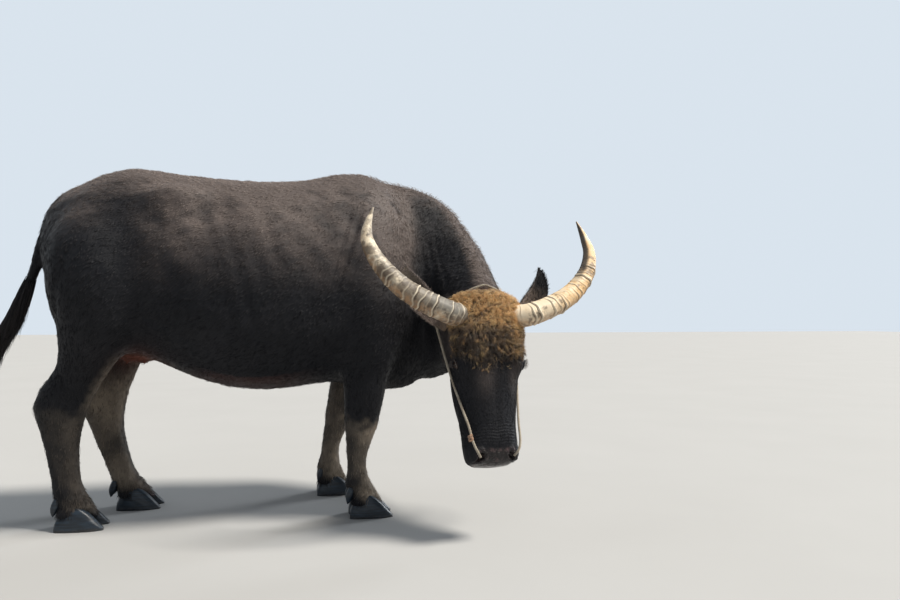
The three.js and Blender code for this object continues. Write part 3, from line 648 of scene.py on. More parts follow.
def rounded_node(name, swell):
    """A faceted node with each face split in 16 and bowed out between its corners, and swollen a little
    so that it runs into its neighbours. Sharp edges stay sharp."""
    points, triangles = read_mesh(frame["nodes"][name].data)
    keys, index = np.unique(np.round(points, 6), axis=0, return_inverse=True)
    triangles = index.reshape(-1)[triangles]
    whole = (triangles[:, 0] != triangles[:, 1]) & (triangles[:, 1] != triangles[:, 2])
    triangles = triangles[whole & (triangles[:, 0] != triangles[:, 2])]
    mesh = bpy.data.meshes.new("rounding")
    mesh.from_pydata(keys.tolist(), [], triangles.tolist())
    mesh.update(calc_edges=True)
    mesh.set_sharp_from_angle(angle=math.radians(42))
    normals = np.empty(len(mesh.loops) * 3)
    mesh.corner_normals.foreach_get("vector", normals)
    normals = normals.reshape(-1, 3, 3)
    bpy.data.meshes.remove(mesh)
    corners = keys[triangles]
    steps = 4
    grid = [(i, j) for i in range(steps + 1) for j in range(steps + 1 - i)]
    number = {key: n for n, key in enumerate(grid)}
    shares = np.array([[(steps - i - j) / steps, i / steps, j / steps] for i, j in grid])
    flat = np.einsum("gk,tkc->tgc", shares, corners)
    bowed = np.zeros_like(flat)
    for k in range(3):
        gap = flat - corners[:, None, k]
        off = (gap * normals[:, None, k]).sum(-1, keepdims=True)
        bowed += shares[None, :, k, None] * (flat - off * normals[:, None, k])
    out = unit(np.einsum("gk,tkc->tgc", shares, normals))
    placed_points = 0.3 * flat + 0.7 * bowed + swell * out
    small = []
    for i, j in grid:
        if i + j < steps:
            small.append([number[i, j], number[i + 1, j], number[i, j + 1]])
        if i + j < steps - 1:
            small.append([number[i + 1, j], number[i + 1, j + 1], number[i, j + 1]])
    offsets = np.arange(len(triangles))[:, None, None] * len(grid)
    return placed_points.reshape(-1, 3), (np.array(small)[None] + offsets).reshape(-1, 3)


def skull_form(t, angle):
    """The skull without its raised forms, in the head's frame."""
    x, brow, belt, jaw, half, brow_share, jaw_share = np.moveaxis(along_rows(HEAD_ROWS, t), -1, 0)
    c, s = np.cos(angle), np.sin(angle)
    squareness = 0.72
    rise = np.where(s > 0, brow - belt, belt - jaw)
    narrowing = np.where(s > 0, 1 - (1 - brow_share) * s, 1 + (1 - jaw_share) * s)
    y = half * narrowing * np.sign(c) * np.abs(c) ** squareness
    return np.stack([x, y, belt + rise * np.sign(s) * np.abs(s) ** squareness], -1)


def head_parts():
    """The skull's own forms, in the scene."""
    parts = [swept(skull_form, 60, 64)]
    for (x, y, z), sizes in HEAD_FORMS:
        parts += [ball([x, side * y, z], sizes) for side in ((1, -1) if y else (1,))]
    return [(from_head(points), facing_out(points, triangles)) for points, triangles in parts]


def heel_bulbs():
    """Soft skin over the heel and coronet of each claw, which runs into the pastern above."""
    parts = []
    for leg in LEGS:
        for which in CLAWS:
            low, high = np.array(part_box(f"{leg}_claw_{which}"))
            middle = [low[0] + 40 * MM, (low[1] + high[1]) / 2, 53 * MM]
            points, triangles = ball(middle, [44 * MM, 27 * MM, 22 * MM])
            parts.append((points, facing_out(points, triangles)))
    return parts


def voxel_skin(parts, size):
    """One closed surface of even squares round all the parts."""
    points, triangles = join_arrays(parts)
    blank = bpy.data.materials.new("blank")
    rough = mesh_object("rough_skin", points, triangles, blank)
    remesh = rough.modifiers.new("remesh", "REMESH")
    remesh.mode = "VOXEL"
    remesh.voxel_size = size
    evaluated = rough.evaluated_get(bpy.context.evaluated_depsgraph_get())
    mesh = bpy.data.meshes.new_from_object(evaluated)
    found = np.empty(len(mesh.vertices) * 3)
    mesh.vertices.foreach_get("co", found)
    squares = np.empty(len(mesh.loops), np.int64)
    mesh.loops.foreach_get("vertex_index", squares)
    if len(mesh.loops) != 4 * len(mesh.polygons):
        raise RuntimeError("the remeshed skin is not all squares")
    for item, store in ((rough, bpy.data.objects), (mesh, bpy.data.meshes), (blank, bpy.data.materials)):
        store.remove(item)
    return found.reshape(-1, 3), squares.reshape(-1, 4)


def edges_of(faces):
    """Each edge of the faces once, as two points."""
    sides = faces.shape[1]
    pairs = np.concatenate([faces[:, [i, (i + 1) % sides]] for i in range(sides)])
    return np.unique(np.sort(pairs, 1), axis=0)


def relaxed(points, edges, rounds, weights=1.0):
    """Moves each point halfway to the middle of its neighbours, as far as its weight says."""
    count = len(points)
    degree = np.maximum(np.bincount(edges.ravel(), minlength=count), 1)
    weights = np.broadcast_to(weights, count)[:, None]
    start, end = edges.T
    for _ in range(rounds):
        middle = np.empty_like(points)
        for axis in range(3):
            values = points[:, axis]
            total = np.bincount(start, values[end], count) + np.bincount(end, values[start], count)
            middle[:, axis] = total / degree
        points = points + 0.5 * (middle - points) * weights
    return points


def both_sides(body):
    """The same points with the right side folded over onto the left."""
    return np.abs(body * [0, 1, 0]) + body * [1, 0, 1]


def body_relief(body, normals):
    """How far the muscles, bones and folds of the body lift or sink the skin, in metres."""
    p = both_sides(body)
    x, y, z = p.T
    rise = sum(lift * bump_at(p, centre, sizes) for lift, centre, sizes in BODY_FORMS)
    spine = smooth_step(-0.6, -0.4, x) * smooth_step(0.5, 0.3, x) * (normals[:, 2] > 0.4)
    rise += 0.004 * spine * np.exp(-(y / 0.018) ** 2)
    rise -= 0.004 * spine * np.exp(-((y - 0.06) / 0.035) ** 2)
    ribs = smooth_step(-0.12, 0.0, x) * smooth_step(0.34, 0.26, x) * smooth_step(0.55, 0.68, z)
    ribs *= smooth_step(1.12, 1.0, z)
    uneven = 0.5 + 0.5 * waves(body, 0.3, 2)
    rise += 0.0015 * ribs * uneven * np.sin(2 * math.pi * (x + 0.28 * (z - 0.8)) / 0.066)
    for start, slope, deep in ((0.399, 0.307, 0.008), (0.367, 0.27, 0.004), (0.432, 0.33, 0.003)):
        line = start + slope * (z - 0.945)
        fold = smooth_step(0.66, 0.8, z) * smooth_step(1.12, 1.02, z)
        rise -= deep * fold * np.exp(-((x - line) / 0.011) ** 2) * (y > 0.12)
    for k in range(5):
        line = 0.6 + 0.034 * k + 0.12 * (0.85 - z) * (k - 2) * 0.2 + 0.006 * np.sin(20 * z + k)
        fold = smooth_step(0.5, 0.62, z) * smooth_step(1.1, 0.9, z) * (body[:, 1] < 0.02)
        rise -= 0.0022 * fold * np.exp(-((x - line) / 0.009) ** 2) * (0.6 + 0.6 * uneven)
    flank = np.exp(-((z - (0.66 - 0.55 * (x + 0.22))) / 0.02) ** 2) * smooth_step(-0.32, -0.24, x)
    rise += 0.010 * flank * smooth_step(-0.02, -0.1, x) * (y > 0.1)
    thigh = np.exp(-((x + 0.5 + 0.22 * (0.95 - z)) / 0.014) ** 2) * smooth_step(0.62, 0.75, z)
    rise -= 0.005 * thigh * smooth_step(1.0, 0.85, z) * (y > 0.1)
    # Tendons of the lower legs, and creases of the pasterns.
    low = smooth_step(0.42, 0.3, z) * smooth_step(0.1, 0.16, z)
    rise -= 0.0035 * low * np.abs(normals[:, 1]) ** 2 * smooth_step(-0.3, 0.3, -normals[:, 0] + 0.2)
    for height in (0.062, 0.086, 0.118):
        rise -= 0.0022 * np.exp(-((z - height) / 0.0055) ** 2) * smooth_step(0.0, 0.6, normals[:, 0])
    rise += 0.0025 * waves(body, 0.16, 3) + 0.0009 * waves(body, 0.05, 5)
    return rise * smooth_step(0.02, 0.06, z)


def eye_frame(side):
    """Centre of the eye, the way it looks, along its slit and up to the brow, in the head's frame."""
    look = unit(EYE_LOOK * [1, side, 1])
    slit = np.array([1, 0, 0.15])
    slit = unit(slit - look * (slit @ look))
    brow = np.cross(slit, look) * side
    return EYE_AT * [1, side, 1], look, slit, brow


def almond(along, up):
    """Below 1 inside the opening between the lids; along and up are in millimetres."""
    span = np.clip(1 - (along / SLIT_HALF) ** 2, 0.0, 1)
    half = np.where(up > 0, 9.5, 8.0) * span ** 0.8 + 0.01
    return np.abs(up) / half + 3 * (np.abs(along) > SLIT_HALF - 0.1)


def shaped_lids(head):
    """The skin drawn over each eyeball as lids, with their opening, creases and brow folds."""
    for side in (1, -1):
        centre, look, slit, brow = eye_frame(side)
        gap = head - centre
        distance = np.linalg.norm(gap, axis=1)
        near = np.flatnonzero(distance < 62)
        way = gap[near] / distance[near, None]
        facing = way @ look
        along, up = gap[near] @ slit, gap[near] @ brow
        inside = almond(along, up)
        lid = EYE_RADIUS + 4.2
        lid = lid + 1.6 * np.exp(-((inside - 1.16) / 0.16) ** 2)
        lid = lid - 1.5 * np.exp(-((inside - 1.62) / 0.13) ** 2) * (up > 0)
        lid = lid + 1.3 * np.exp(-((inside - 2.0) / 0.2) ** 2) * (up > 0)
        target = np.where(inside < 1, EYE_RADIUS - 4, lid)
        hold = smooth_step(0.35, 0.72, facing) * smooth_step(60, 40, distance[near])
        reach = distance[near] + hold * (target - distance[near])
        folded = np.zeros(len(near))
        for k, radius in enumerate((31, 38, 46)):
            arc = np.hypot(along * 0.8, up - 2)
            folded -= 1.8 * np.exp(-((arc - radius) / 1.5) ** 2) * smooth_step(2, 14, up) * (1 - 0.2 * k)
            folded -= 1.0 * np.exp(-((arc - radius + 3) / 1.3) ** 2) * smooth_step(-4, -14, up) * (k < 2)
        tear = np.exp(-(up + 5 + 0.25 * (along - 17)) ** 2 / 8)
        tear = tear * smooth_step(14, 20, along) * smooth_step(48, 30, along)
        head[near] = centre + way * (reach + folded - 2.6 * tear * (1 - hold))[:, None]
    return head


def mouth_height(x):
    """Height of the mouth's line at each x of the head."""
    t = np.clip((x - 412) / (600 - 412), 0, 1)
    return -112 * (1 - t) ** 2 + 2 * t * (1 - t) * -109 - 121 * t * t


def nostril_depth(head):
    """1 deep in a nostril, falling to 0 at its rim, and the ring just outside it."""
    deep, ring = np.zeros(len(head)), np.zeros(len(head))
    for side in (1, -1):
        gap = head - NOSTRIL_AT * [1, side, 1]
        turn = side * NOSTRIL_SLANT
        along = gap[:, 0] * math.cos(turn) + gap[:, 1] * math.sin(turn)
        across = -gap[:, 0] * math.sin(turn) + gap[:, 1] * math.cos(turn)
        hook = across - side * 0.016 * (along + 6) ** 2 + side * 2
        width = 10.5 - 0.16 * along
        far = np.sqrt((along / 21) ** 2 + (hook / width) ** 2 + (gap[:, 2] / 34) ** 2)
        deep = np.maximum(deep, smooth_step(1.08, 0.55, far))
        ring = np.maximum(ring, np.exp(-((far - 1.35) / 0.22) ** 2))
    return deep, ring


def head_relief(head):
    """Lift of the head's skin along its normals in millimetres, and how much painted shade each place gets deep in
    the nostrils and along the mouth.
    """
    p = both_sides(head)
    x, side, z = p.T
    y = head[:, 1]
    deep, ring = nostril_depth(head)
    rise = 2.2 * ring - 15 * deep
    line = mouth_height(x)
    lips = smooth_step(405, 425, x)
    mouth = np.exp(-((z - line) / 2.6) ** 2) * lips
    rise -= 7.5 * mouth
    rise += 2.6 * lips * (np.exp(-((z - line - 8) / 5) ** 2) + np.exp(-((z - line + 8) / 5) ** 2))
    front = smooth_step(505, 525, x) * smooth_step(-30, -50, z) * smooth_step(-118, -104, z)
    rise -= 3.2 * np.exp(-(y / 2.4) ** 2) * front
    bridge = smooth_step(395, 425, x) * smooth_step(500, 478, x) * smooth_step(-70, -45, z)
    wrinkle = np.sin(2 * math.pi * (x + 0.06 * side + 2.5 * np.sin(side / 17)) / 9.5)
    rise += 0.55 * bridge * wrinkle * (0.6 + 0.5 * waves(head, 40, 19))
    rise -= 5.0 * bump_at(p, (300, 94, -66), (42, 22, 20))
    rise += 3.0 * bump_at(p, (330, 66, -20), (80, 14, 16))
    rise -= 2.5 * np.exp(-(y / 16) ** 2) * smooth_step(240, 300, x) * smooth_step(420, 360, x) * (z > -60)
    rise += 3.5 * bump_at(p, (300, 112, -118), (70, 20, 16))
    jaw = 4.0 * np.exp(-((z + 168 + 0.25 * (x - 200)) / 8) ** 2)
    rise -= jaw * smooth_step(250, 290, x) * smooth_step(400, 340, x)
    rise += 2.0 * bump_at(p, (250, 100, -200), (60, 30, 30))
    folds = smooth_step(40, 90, x) * smooth_step(240, 190, x) * smooth_step(-150, -200, z)
    rise += 1.6 * folds * np.sin(2 * math.pi * (x - 0.5 * z) / 26)
    brow = smooth_step(120, 170, x) * smooth_step(235, 200, x) * smooth_step(40, 66, side) * (z > -40)
    rise += 1.8 * brow * np.sin(2 * math.pi * (x + 0.55 * side) / 15)
    pad = smooth_step(486, 512, x) * smooth_step(66, 50, side) * smooth_step(-108, -90, z)
    rise += 0.7 * pad * waves(head, 12, 21, 2)
    # Painted shade: how dark the skin is painted deep in the nostrils and along the mouth.
    painted_crease_shade = np.clip(0.95 * deep + 0.85 * mouth, 0, 1)
    return rise, painted_crease_shade


def refined(points, faces, chosen):
    """Each chosen face split finer, with the faces beside it kept joined, and all of them as triangles."""
    mesh = bpy.data.meshes.new("refining")
    mesh.from_pydata(points.tolist(), [], faces.tolist())
    work = bmesh.new()
    work.from_mesh(mesh)
    work.faces.ensure_lookup_table()
    edges = {edge for n in np.flatnonzero(chosen) for edge in work.faces[n].edges}
    bmesh.ops.subdivide_edges(work, edges=list(edges), cuts=1, use_grid_fill=True)
    bmesh.ops.triangulate(work, faces=work.faces[:])
    work.to_mesh(mesh)
    work.free()
    found, triangles = read_mesh(mesh)
    bpy.data.meshes.remove(mesh)
    return found, triangles


def ear_grid():
    """How far along and how far round each point of an ear lies."""
    return (values.ravel() for values in round_grid(EAR_RINGS, EAR_SIDES))


def ear_surface(side):
    """A cupped leaf with a thin rim, in the scene, and how far each point lies in its open inner face."""
    root, bend, tip, towards = (np.array(row, float) * [1, side, 1] for row in EARS[side])
    facing = unit(towards)

    def form(t, angle):
        t = t[..., None]
        at = root * (1 - t) ** 2 + 2 * bend * t * (1 - t) + tip * t * t
        along = unit(2 * (bend - root) * (1 - t) + 2 * (tip - bend) * t)
        across = unit(np.cross(facing, along))
        up = unit(np.cross(along, across))
        leaf = 47 * (0.55 + 0.45 * np.sin(np.pi * np.minimum(1, 0.95 * t)) ** 0.9) * (1 - t ** 3) ** 0.7
        half = np.maximum(leaf, 1.2)
        cup = 0.62 * half * np.minimum(1, 0.35 + 3 * t) * (1 - 0.4 * t)
        c, s = np.cos(angle)[..., None], np.sin(angle)[..., None]
        wall = 6.2 * (1.5 - t) * (1 - 0.78 * c * c)
        wavy = 1.3 * np.sin(9 * t + 2 * c) * c * c
        veins = 0.5 * np.sin(7 * c + 3 * t) * (s > 0) * (1 - c * c)
        return at + across * half * c + up * (wavy + veins - cup * (1 - c * c) + wall * s * 0.8)

    points, triangles = swept(form, EAR_RINGS, EAR_SIDES)
    along, angle = ear_grid()
    inner = (np.sin(angle) > 0.15) * smooth_step(0.9, 0.55, along) * smooth_step(0.75, 0.2, along)
    return from_head(points), facing_out(points, triangles), np.append(inner, [0, 0])


def markings(points, normals):
    """How pale, reddish and wet the skin is, where sunlight and sheen are painted on it, and how steeply its hair
    hangs.
    """
    body = points - BODY_ORIGIN
    head = to_head(points)
    p = both_sides(body)
    x, y, z = p.T
    hx, side, hz = both_sides(head).T
    uneven = waves(body, 0.09, 8)
    at_head = smooth_step(-60, -30, hx) * smooth_step(215, 175, side) * smooth_step(-285, -250, hz)
    hind = x < 0
    top = np.where(hind, 0.39, 0.33) + 0.03 * uneven
    top = top + 0.025 * smooth_step(0.2, -0.8, normals[:, 0])
    # The pale stockings are real. They are painted paler still on sides that face forward, as painted sunlight, and
    # darker on the hind legs, as painted shade.
    pale = smooth_step(top + 0.03, top - 0.03, z) * (0.25 + 0.75 * smooth_step(-0.6, 0.25, normals[:, 0]))
    pale = pale * np.where(hind, 0.22, 1.0)
    fetlock = np.exp(-((z - 0.128) / 0.022) ** 2) * smooth_step(0.45, -0.2, normals[:, 0])
    pale = pale * (1 - 0.85 * fetlock) * smooth_step(0.055, 0.09, z + 0.02 * normals[:, 0])
    inside = smooth_step(0.0, 0.7, -normals[:, 1] * np.sign(body[:, 1]))
    pale = np.maximum(pale, 0.5 * smooth_step(0.56, 0.44, z) * inside * smooth_step(0.06, 0.1, z))
    edge = smooth_step(0.5, 0.9, normals[:, 0]) * smooth_step(0.62, 0.52, z) * smooth_step(0.36, 0.42, z)
    pale = np.maximum(pale, 0.4 * edge * hind) * (1 - at_head)
    pink = np.clip(1.5 * bump_at(p, (-0.32, 0.0, 0.6), (0.17, 0.11, 0.085)), 0, 1)
    belly = smooth_step(0.56, 0.47, z) * smooth_step(-0.4, -0.2, x) * smooth_step(0.35, 0.1, x)
    pink = np.maximum(pink, 0.34 * belly * (y < 0.2))
    pink = np.maximum(pink, 0.55 * bump_at(head, (-20, 30, -100), (34, 60, 30)))
    chin = smooth_step(488, 520, hx) * smooth_step(-112, -128, hz)
    pink = np.maximum(pink, 0.35 * chin * at_head)
    pink = np.maximum(pink, 0.6 * bump_at(head, (545, 62, -96), (22, 18, 20)))
    wet = smooth_step(486, 506, hx) * smooth_step(74, 60, side) * smooth_step(-116, -104, hz)
    wet *= smooth_step(-22, -30, hz - 0.25 * (hx - 510))
    # Painted sunlight and sheen: paler on faces that look up, on the upper flank in bands, on the shoulder, a little
    # on the hip and on the crest, and on the face below the forelock. The middle of the neck is left dark, as if in
    # shade.
    brown = smooth_step(0.45, 0.95, normals[:, 2]) * smooth_step(0.95, 1.1, z) * (1 - at_head)
    bands = 1 + 0.5 * waves(body * [1, 0.3, 0.35], 0.17, 9)
    sunlit_share = smooth_step(0.76, 1.05, z) * smooth_step(-0.38, -0.14, x)
    sunlit_share = sunlit_share * (1 - 0.95 * smooth_step(0.6, 0.67, x)) * bands
    hip = 0.07 * bump_at(p, (-0.47, 0.2, 1.08), (0.12, 0.2, 0.08))
    shoulder = 0.95 * bump_at(p, (0.56, 0.3, 1.02), (0.075, 0.3, 0.17))
    brown = np.clip(brown + (0.6 * sunlit_share + hip + shoulder) * (1 + 0.6 * uneven), 0, 1)
    brown = np.maximum(brown, crest_share(body) * (1 - at_head))
    low_brow = 0.5 * bump_at(head, (262, -30, 0), (60, 30, 60))
    low_brow = low_brow + 0.4 * bump_at(head, (265, 78, -20), (50, 24, 60))
    brown = np.maximum(brown, at_head * np.maximum(0.35 * smooth_step(250, 150, hx), low_brow))
    upright = np.clip(smooth_step(0.6, 0.48, z) + smooth_step(0.5, 0.62, x) + at_head, 0, 1)
    return {"pale": pale, "pink": pink, "wet": wet * at_head, "brown": brown, "upright": upright}


# The skin's arrays, kept for the coat that grows on it.
SKIN = {}


def make_skin(settings):
    """The whole hide as one surface, with its markings."""
    parts = [rounded_node(name, settings.swell) for name in BODY_NODES]
    parts += head_parts() + heel_bulbs()
    points, squares = voxel_skin(parts, settings.voxel)
    edges = edges_of(squares)
    points = relaxed(points, edges, 12)
    body = points - BODY_ORIGIN
    _, y, z = both_sides(body).T
    join = smooth_step(0.47, 0.6, z) * (1 - 0.7 * smooth_step(0.13, 0.02, y))
    off_head = off_head_share(to_head(points))
    tail = bump_at(body, (-0.66, 0, 1.0), (0.1, 0.07, 0.3))
    weights = join * off_head * (1 - np.clip(2 * tail, 0, 1))
    points = relaxed(points, edges, settings.blend_rounds, weights)
    normals = point_normals(points, squares)
    rise = body_relief(points - BODY_ORIGIN, normals) * off_head - settings.coat_depth
    points = points + normals * rise[:, None]

    # The head is split finer once, and its eyes and muzzle twice.
    x, side, z = both_sides(to_head(points[squares].mean(1))).T
    points, faces = refined(points, squares, (x > -40) & (x < 620) & (side < 165) & (z > -290))
    middles = to_head(points[faces].mean(1))
    x, side, z = both_sides(middles).T
    points, faces = refined(points, faces, (eye_distance(middles) < 50) | (x > 400) & (side < 165) & (z > -200))
    at_head = off_head_share(to_head(points)) < 0.5
    points = relaxed(points, edges_of(faces), 3, at_head)
    points = np.where(at_head[:, None], from_head(shaped_lids(to_head(points))), points)
    normals = point_normals(points, faces)
    head = to_head(points)
    rise, painted_crease_shade = head_relief(head)
    share = 1 - off_head_share(head)
    points = points + normals * (MM * rise * share)[:, None]
    normals = point_normals(points, faces)
    values = markings(points, normals)
    values["painted_crease_shade"] = painted_crease_shade * share
    for side in (1, -1):
        ear_points, ear_faces, inner = ear_surface(side)
        ear_values = {key: np.zeros(len(ear_points)) for key in values}
        ear_values["pink"] = 0.35 * inner
        # The pale inside of each ear is real; the right ear is painted pale all over as painted sunlight on it.
        ear_values["pale"] = np.maximum(inner, 0.85 * (side < 0))
        faces = np.concatenate([faces, ear_faces + len(points)])
        points = np.concatenate([points, ear_points])
        values = {key: np.concatenate([values[key], ear_values[key]]) for key in values}
    SKIN.update(points=points, faces=faces, normals=point_normals(points, faces))
    return points, faces, values


def off_head_share(head):
    """1 away from the head and 0 on it."""
    return 1 - smooth_step(-60, 10, head[:, 0]) * (np.abs(head[:, 1]) < 200) * (head[:, 2] > -300)


# Coat

def clumped(roots, size, seed):
    """A number for each root, the same for all roots of one clump, and the middle of that clump."""
    rng = np.random.default_rng(seed)
    moved = roots + rng.normal(0, size * 0.12, roots.shape)
    cells = np.floor((moved + waves(roots, size * 5, seed)[:, None] * size * 0.4) / size).astype(int)
    _, clump = np.unique(cells, axis=0, return_inverse=True)
    clump = clump.reshape(-1)
    share = np.maximum(np.bincount(clump), 1)
    middle = np.stack([np.bincount(clump, roots[:, axis]) / share for axis in range(3)], -1)
    return clump, middle[clump]


def grow(name, material, roots, normals, lies, length, width, values, rings=2, lift=0.12, tip_lift=0.06,
         curl=0.0, wave=0.0, seed=1, sunk=0.0012, taper=0.8, clump=None):
    """A joined mesh of closed tapered tufts. lies is the way that each tuft runs over the skin, and curl
    is half the greatest angle that a tuft turns through from root to tip."""
    rng = np.random.default_rng(seed)
    count = len(roots)
    clump = np.arange(count) if clump is None else clump
    own = rng.normal(0, 0.25, (3, count))
    shared = rng.uniform(size=(3, clump.max() + 1))[:, clump]
    length = np.broadcast_to(length, count) * rng.uniform(0.75, 1.2, count)
    width = np.broadcast_to(width, count) * rng.uniform(0.75, 1.25, count)
    lies = unit(lies - normals * (lies * normals).sum(-1, keepdims=True))
    across = np.cross(normals, lies)
    lift = np.broadcast_to(lift, count) * rng.uniform(0.6, 1.4, count)
    tip_lift = np.broadcast_to(tip_lift, count) * rng.uniform(0.5, 1.5, count)
    bend = (4 * shared[0] - 2 + own[0]) * curl
    turns = 0.8 + 0.9 * shared[1]
    phase = 2 * math.pi * shared[2] + own[1]
    tint = np.clip(0.6 * shared[0] ** 1.5 + 0.4 * rng.uniform(size=count) + 0.3 * own[2], 0, 1)
    s = np.linspace(0, 1, rings + 1)
    rows = []
    bend = np.where(np.abs(bend) < 0.001, 0.001, bend)
    aside = unit(across + 0.5 * normals * np.sign(bend)[:, None])
    for k, share in enumerate(s):
        high = lift * math.sin(math.pi * min(1, share * 0.95)) + tip_lift * share
        forward = np.sin(bend * share) / bend
        swing = (1 - np.cos(bend * share)) / bend
        sway = wave * share * np.sin(2 * math.pi * turns * share + phase)
        loop = wave * share * (np.cos(2 * math.pi * turns * share + phase) - np.cos(phase)) * 0.7
        centre = roots + length[:, None] * (lies * forward[:, None] + aside * swing[:, None]
                                            + across * sway[:, None] + normals * (high + loop)[:, None])
        centre = centre - normals * (sunk * (share == 0))
        if k == rings:
            rows.append(centre[:, None])
            continue
        narrowing = width / 2 * (1 - share ** (1 / taper) * 0.75)
        half = (narrowing * (0.8 + 0.6 * share if share < 0.4 else 1))[:, None]
        corners = [centre - across * half, centre + across * half, centre + normals * half * 0.9]
        rows.append(np.stack(corners, 1))
    points = np.concatenate(rows, 1)
    per = 3 * rings + 1
    small = [[0, 1, 2]]
    for k in range(rings - 1):
        for i in range(3):
            a, b = 3 * k + i, 3 * k + (i + 1) % 3
            small += [[a, b + 3, b], [a, a + 3, b + 3]]
    last = 3 * (rings - 1)
    small += [[last + i, per - 1, last + (i + 1) % 3] for i in range(3)]
    faces = (np.array(small)[None] + (np.arange(count) * per)[:, None, None]).reshape(-1, 3)
    tip = np.append(np.repeat(s[:-1], 3), 1.0)
    per_point = {key: np.repeat(numbers, per) for key, numbers in values.items()}
    per_point["tip"] = np.tile(tip, count)
    per_point["tint"] = np.repeat(tint, per)
    patch = 0.003
    corner = np.array([[side, share] for share in s[:-1] for side in (0.0, 1.0, 0.5)] + [[0.5, 1.0]]) - 0.5
    uv = (unwrapped(roots, normals)[:, None] + patch * corner[None]).reshape(-1, 2)
    for key in ("pale", "pink", "brown", "gold"):
        per_point.setdefault(key, np.zeros(len(uv)))
    for key in ("wet", "upright"):
        per_point.pop(key, None)
    return mesh_object(name, points.reshape(-1, 3), faces, material, per_point, uv)


def unwrapped(roots, normals):
    """Places on a flat pattern of the skin under a piece: six cells, one for each way that it faces."""
    axis = np.abs(normals).argmax(1)
    number = 2 * axis + (normals[np.arange(len(axis)), axis] > 0)
    low, high = roots.min(0), roots.max(0)
    spread = (roots - low) / np.maximum(high - low, 1e-6)
    rows = np.arange(len(axis))
    first, second = spread[rows, (axis + 1) % 3], spread[rows, (axis + 2) % 3]
    margin = 0.03
    u = (number % 3 + margin + (1 - 2 * margin) * first) / 3
    v = (number // 3 + margin + (1 - 2 * margin) * second) / 2
    return np.stack([u, v], -1)


def sown(count, density, seed):
    """Roots spread over the skin by area and density, and the skin's normals there."""
    rng = np.random.default_rng(seed)
    points, faces = SKIN["points"], SKIN["faces"]
    a, b, c = (points[faces[:, i]] for i in range(3))
    area = np.linalg.norm(np.cross(b - a, c - a), axis=1)
    weight = area * density((a + b + c) / 3)
    chosen = rng.choice(len(faces), count, p=weight / weight.sum())
    share = rng.uniform(size=(count, 2))
    share = np.where(share.sum(1, keepdims=True) > 1, 1 - share, share)
    roots = a[chosen] + share[:, :1] * (b - a)[chosen] + share[:, 1:] * (c - a)[chosen]
    corner_normals = SKIN["normals"][faces[chosen]]
    normals = unit(corner_normals[:, 0] * (1 - share.sum(1))[:, None] + corner_normals[:, 1] * share[:, :1]
                   + corner_normals[:, 2] * share[:, 1:])
    return roots, normals


def lie_of_coat(roots):
    """The way the short coat runs over the body: back and down, down the legs, and down the face."""
    body = roots - BODY_ORIGIN
    head = to_head(roots)
    x, y, z = body.T
    lie = np.tile([-0.72, 0.0, -0.62], (len(roots), 1))
    lie[:, 2] -= 0.8 * smooth_step(-0.35, -0.55, x)
    lie[:, 0] += 0.5 * smooth_step(-0.35, -0.55, x)
    neck = smooth_step(0.5, 0.62, x)[:, None]
    lie = lie * (1 - neck) + neck * np.array([-0.35, 0.5, -0.8])
    legs = smooth_step(0.56, 0.46, z)[:, None] * (np.abs(y) < 0.33)[:, None]
    lie = lie * (1 - legs) + legs * np.array([-0.12, 0, -1.0])
    at_head = (1 - off_head_share(head))[:, None]
    side = np.sign(head[:, 1:2])
    face = HEAD_AXES[0] + 0.35 * side * HEAD_AXES[1] - 0.25 * HEAD_AXES[2]
    lie = lie * (1 - at_head) + at_head * face
    turn = 0.32 * waves(body, 0.14, 11)[:, None] * np.cross(lie, unit(roots - roots.mean(0)))
    return unit(lie + turn)


def short_coat(name, material, count, seed, region, length, width, lift):
    """Short flat hair over one region of the skin, with the skin's own markings."""
    def density(middles):
        head = to_head(middles)
        bare = smooth_step(480, 500, head[:, 0]) * (1 - off_head_share(head))
        return region(middles - BODY_ORIGIN, head) * (1 - bare) * (eye_distance(head) >= 30)
    roots, normals = sown(count, density, seed)
    lies = lie_of_coat(roots)
    rng = np.random.default_rng(seed + 50)
    lies = lies + 0.14 * rng.normal(size=lies.shape)
    clump, _ = clumped(roots, 0.022, seed)
    return placed(grow(name, material, roots, normals, lies, length, width, markings(roots, normals),
                       seed=seed, clump=clump, lift=lift, tip_lift=0.03, sunk=0.0008), "hide")


# Settings

def colour(name, description, value):
    return bpy.props.FloatVectorProperty(
        name=name, description=description, default=value, size=3, subtype="COLOR", min=0, max=1)


def metres(name, description, value):
    return bpy.props.FloatProperty(name=name, description=description, default=value, unit="LENGTH", min=0)


def count(name, description, value):
    return bpy.props.IntProperty(name=name, description=description, default=value, min=0)


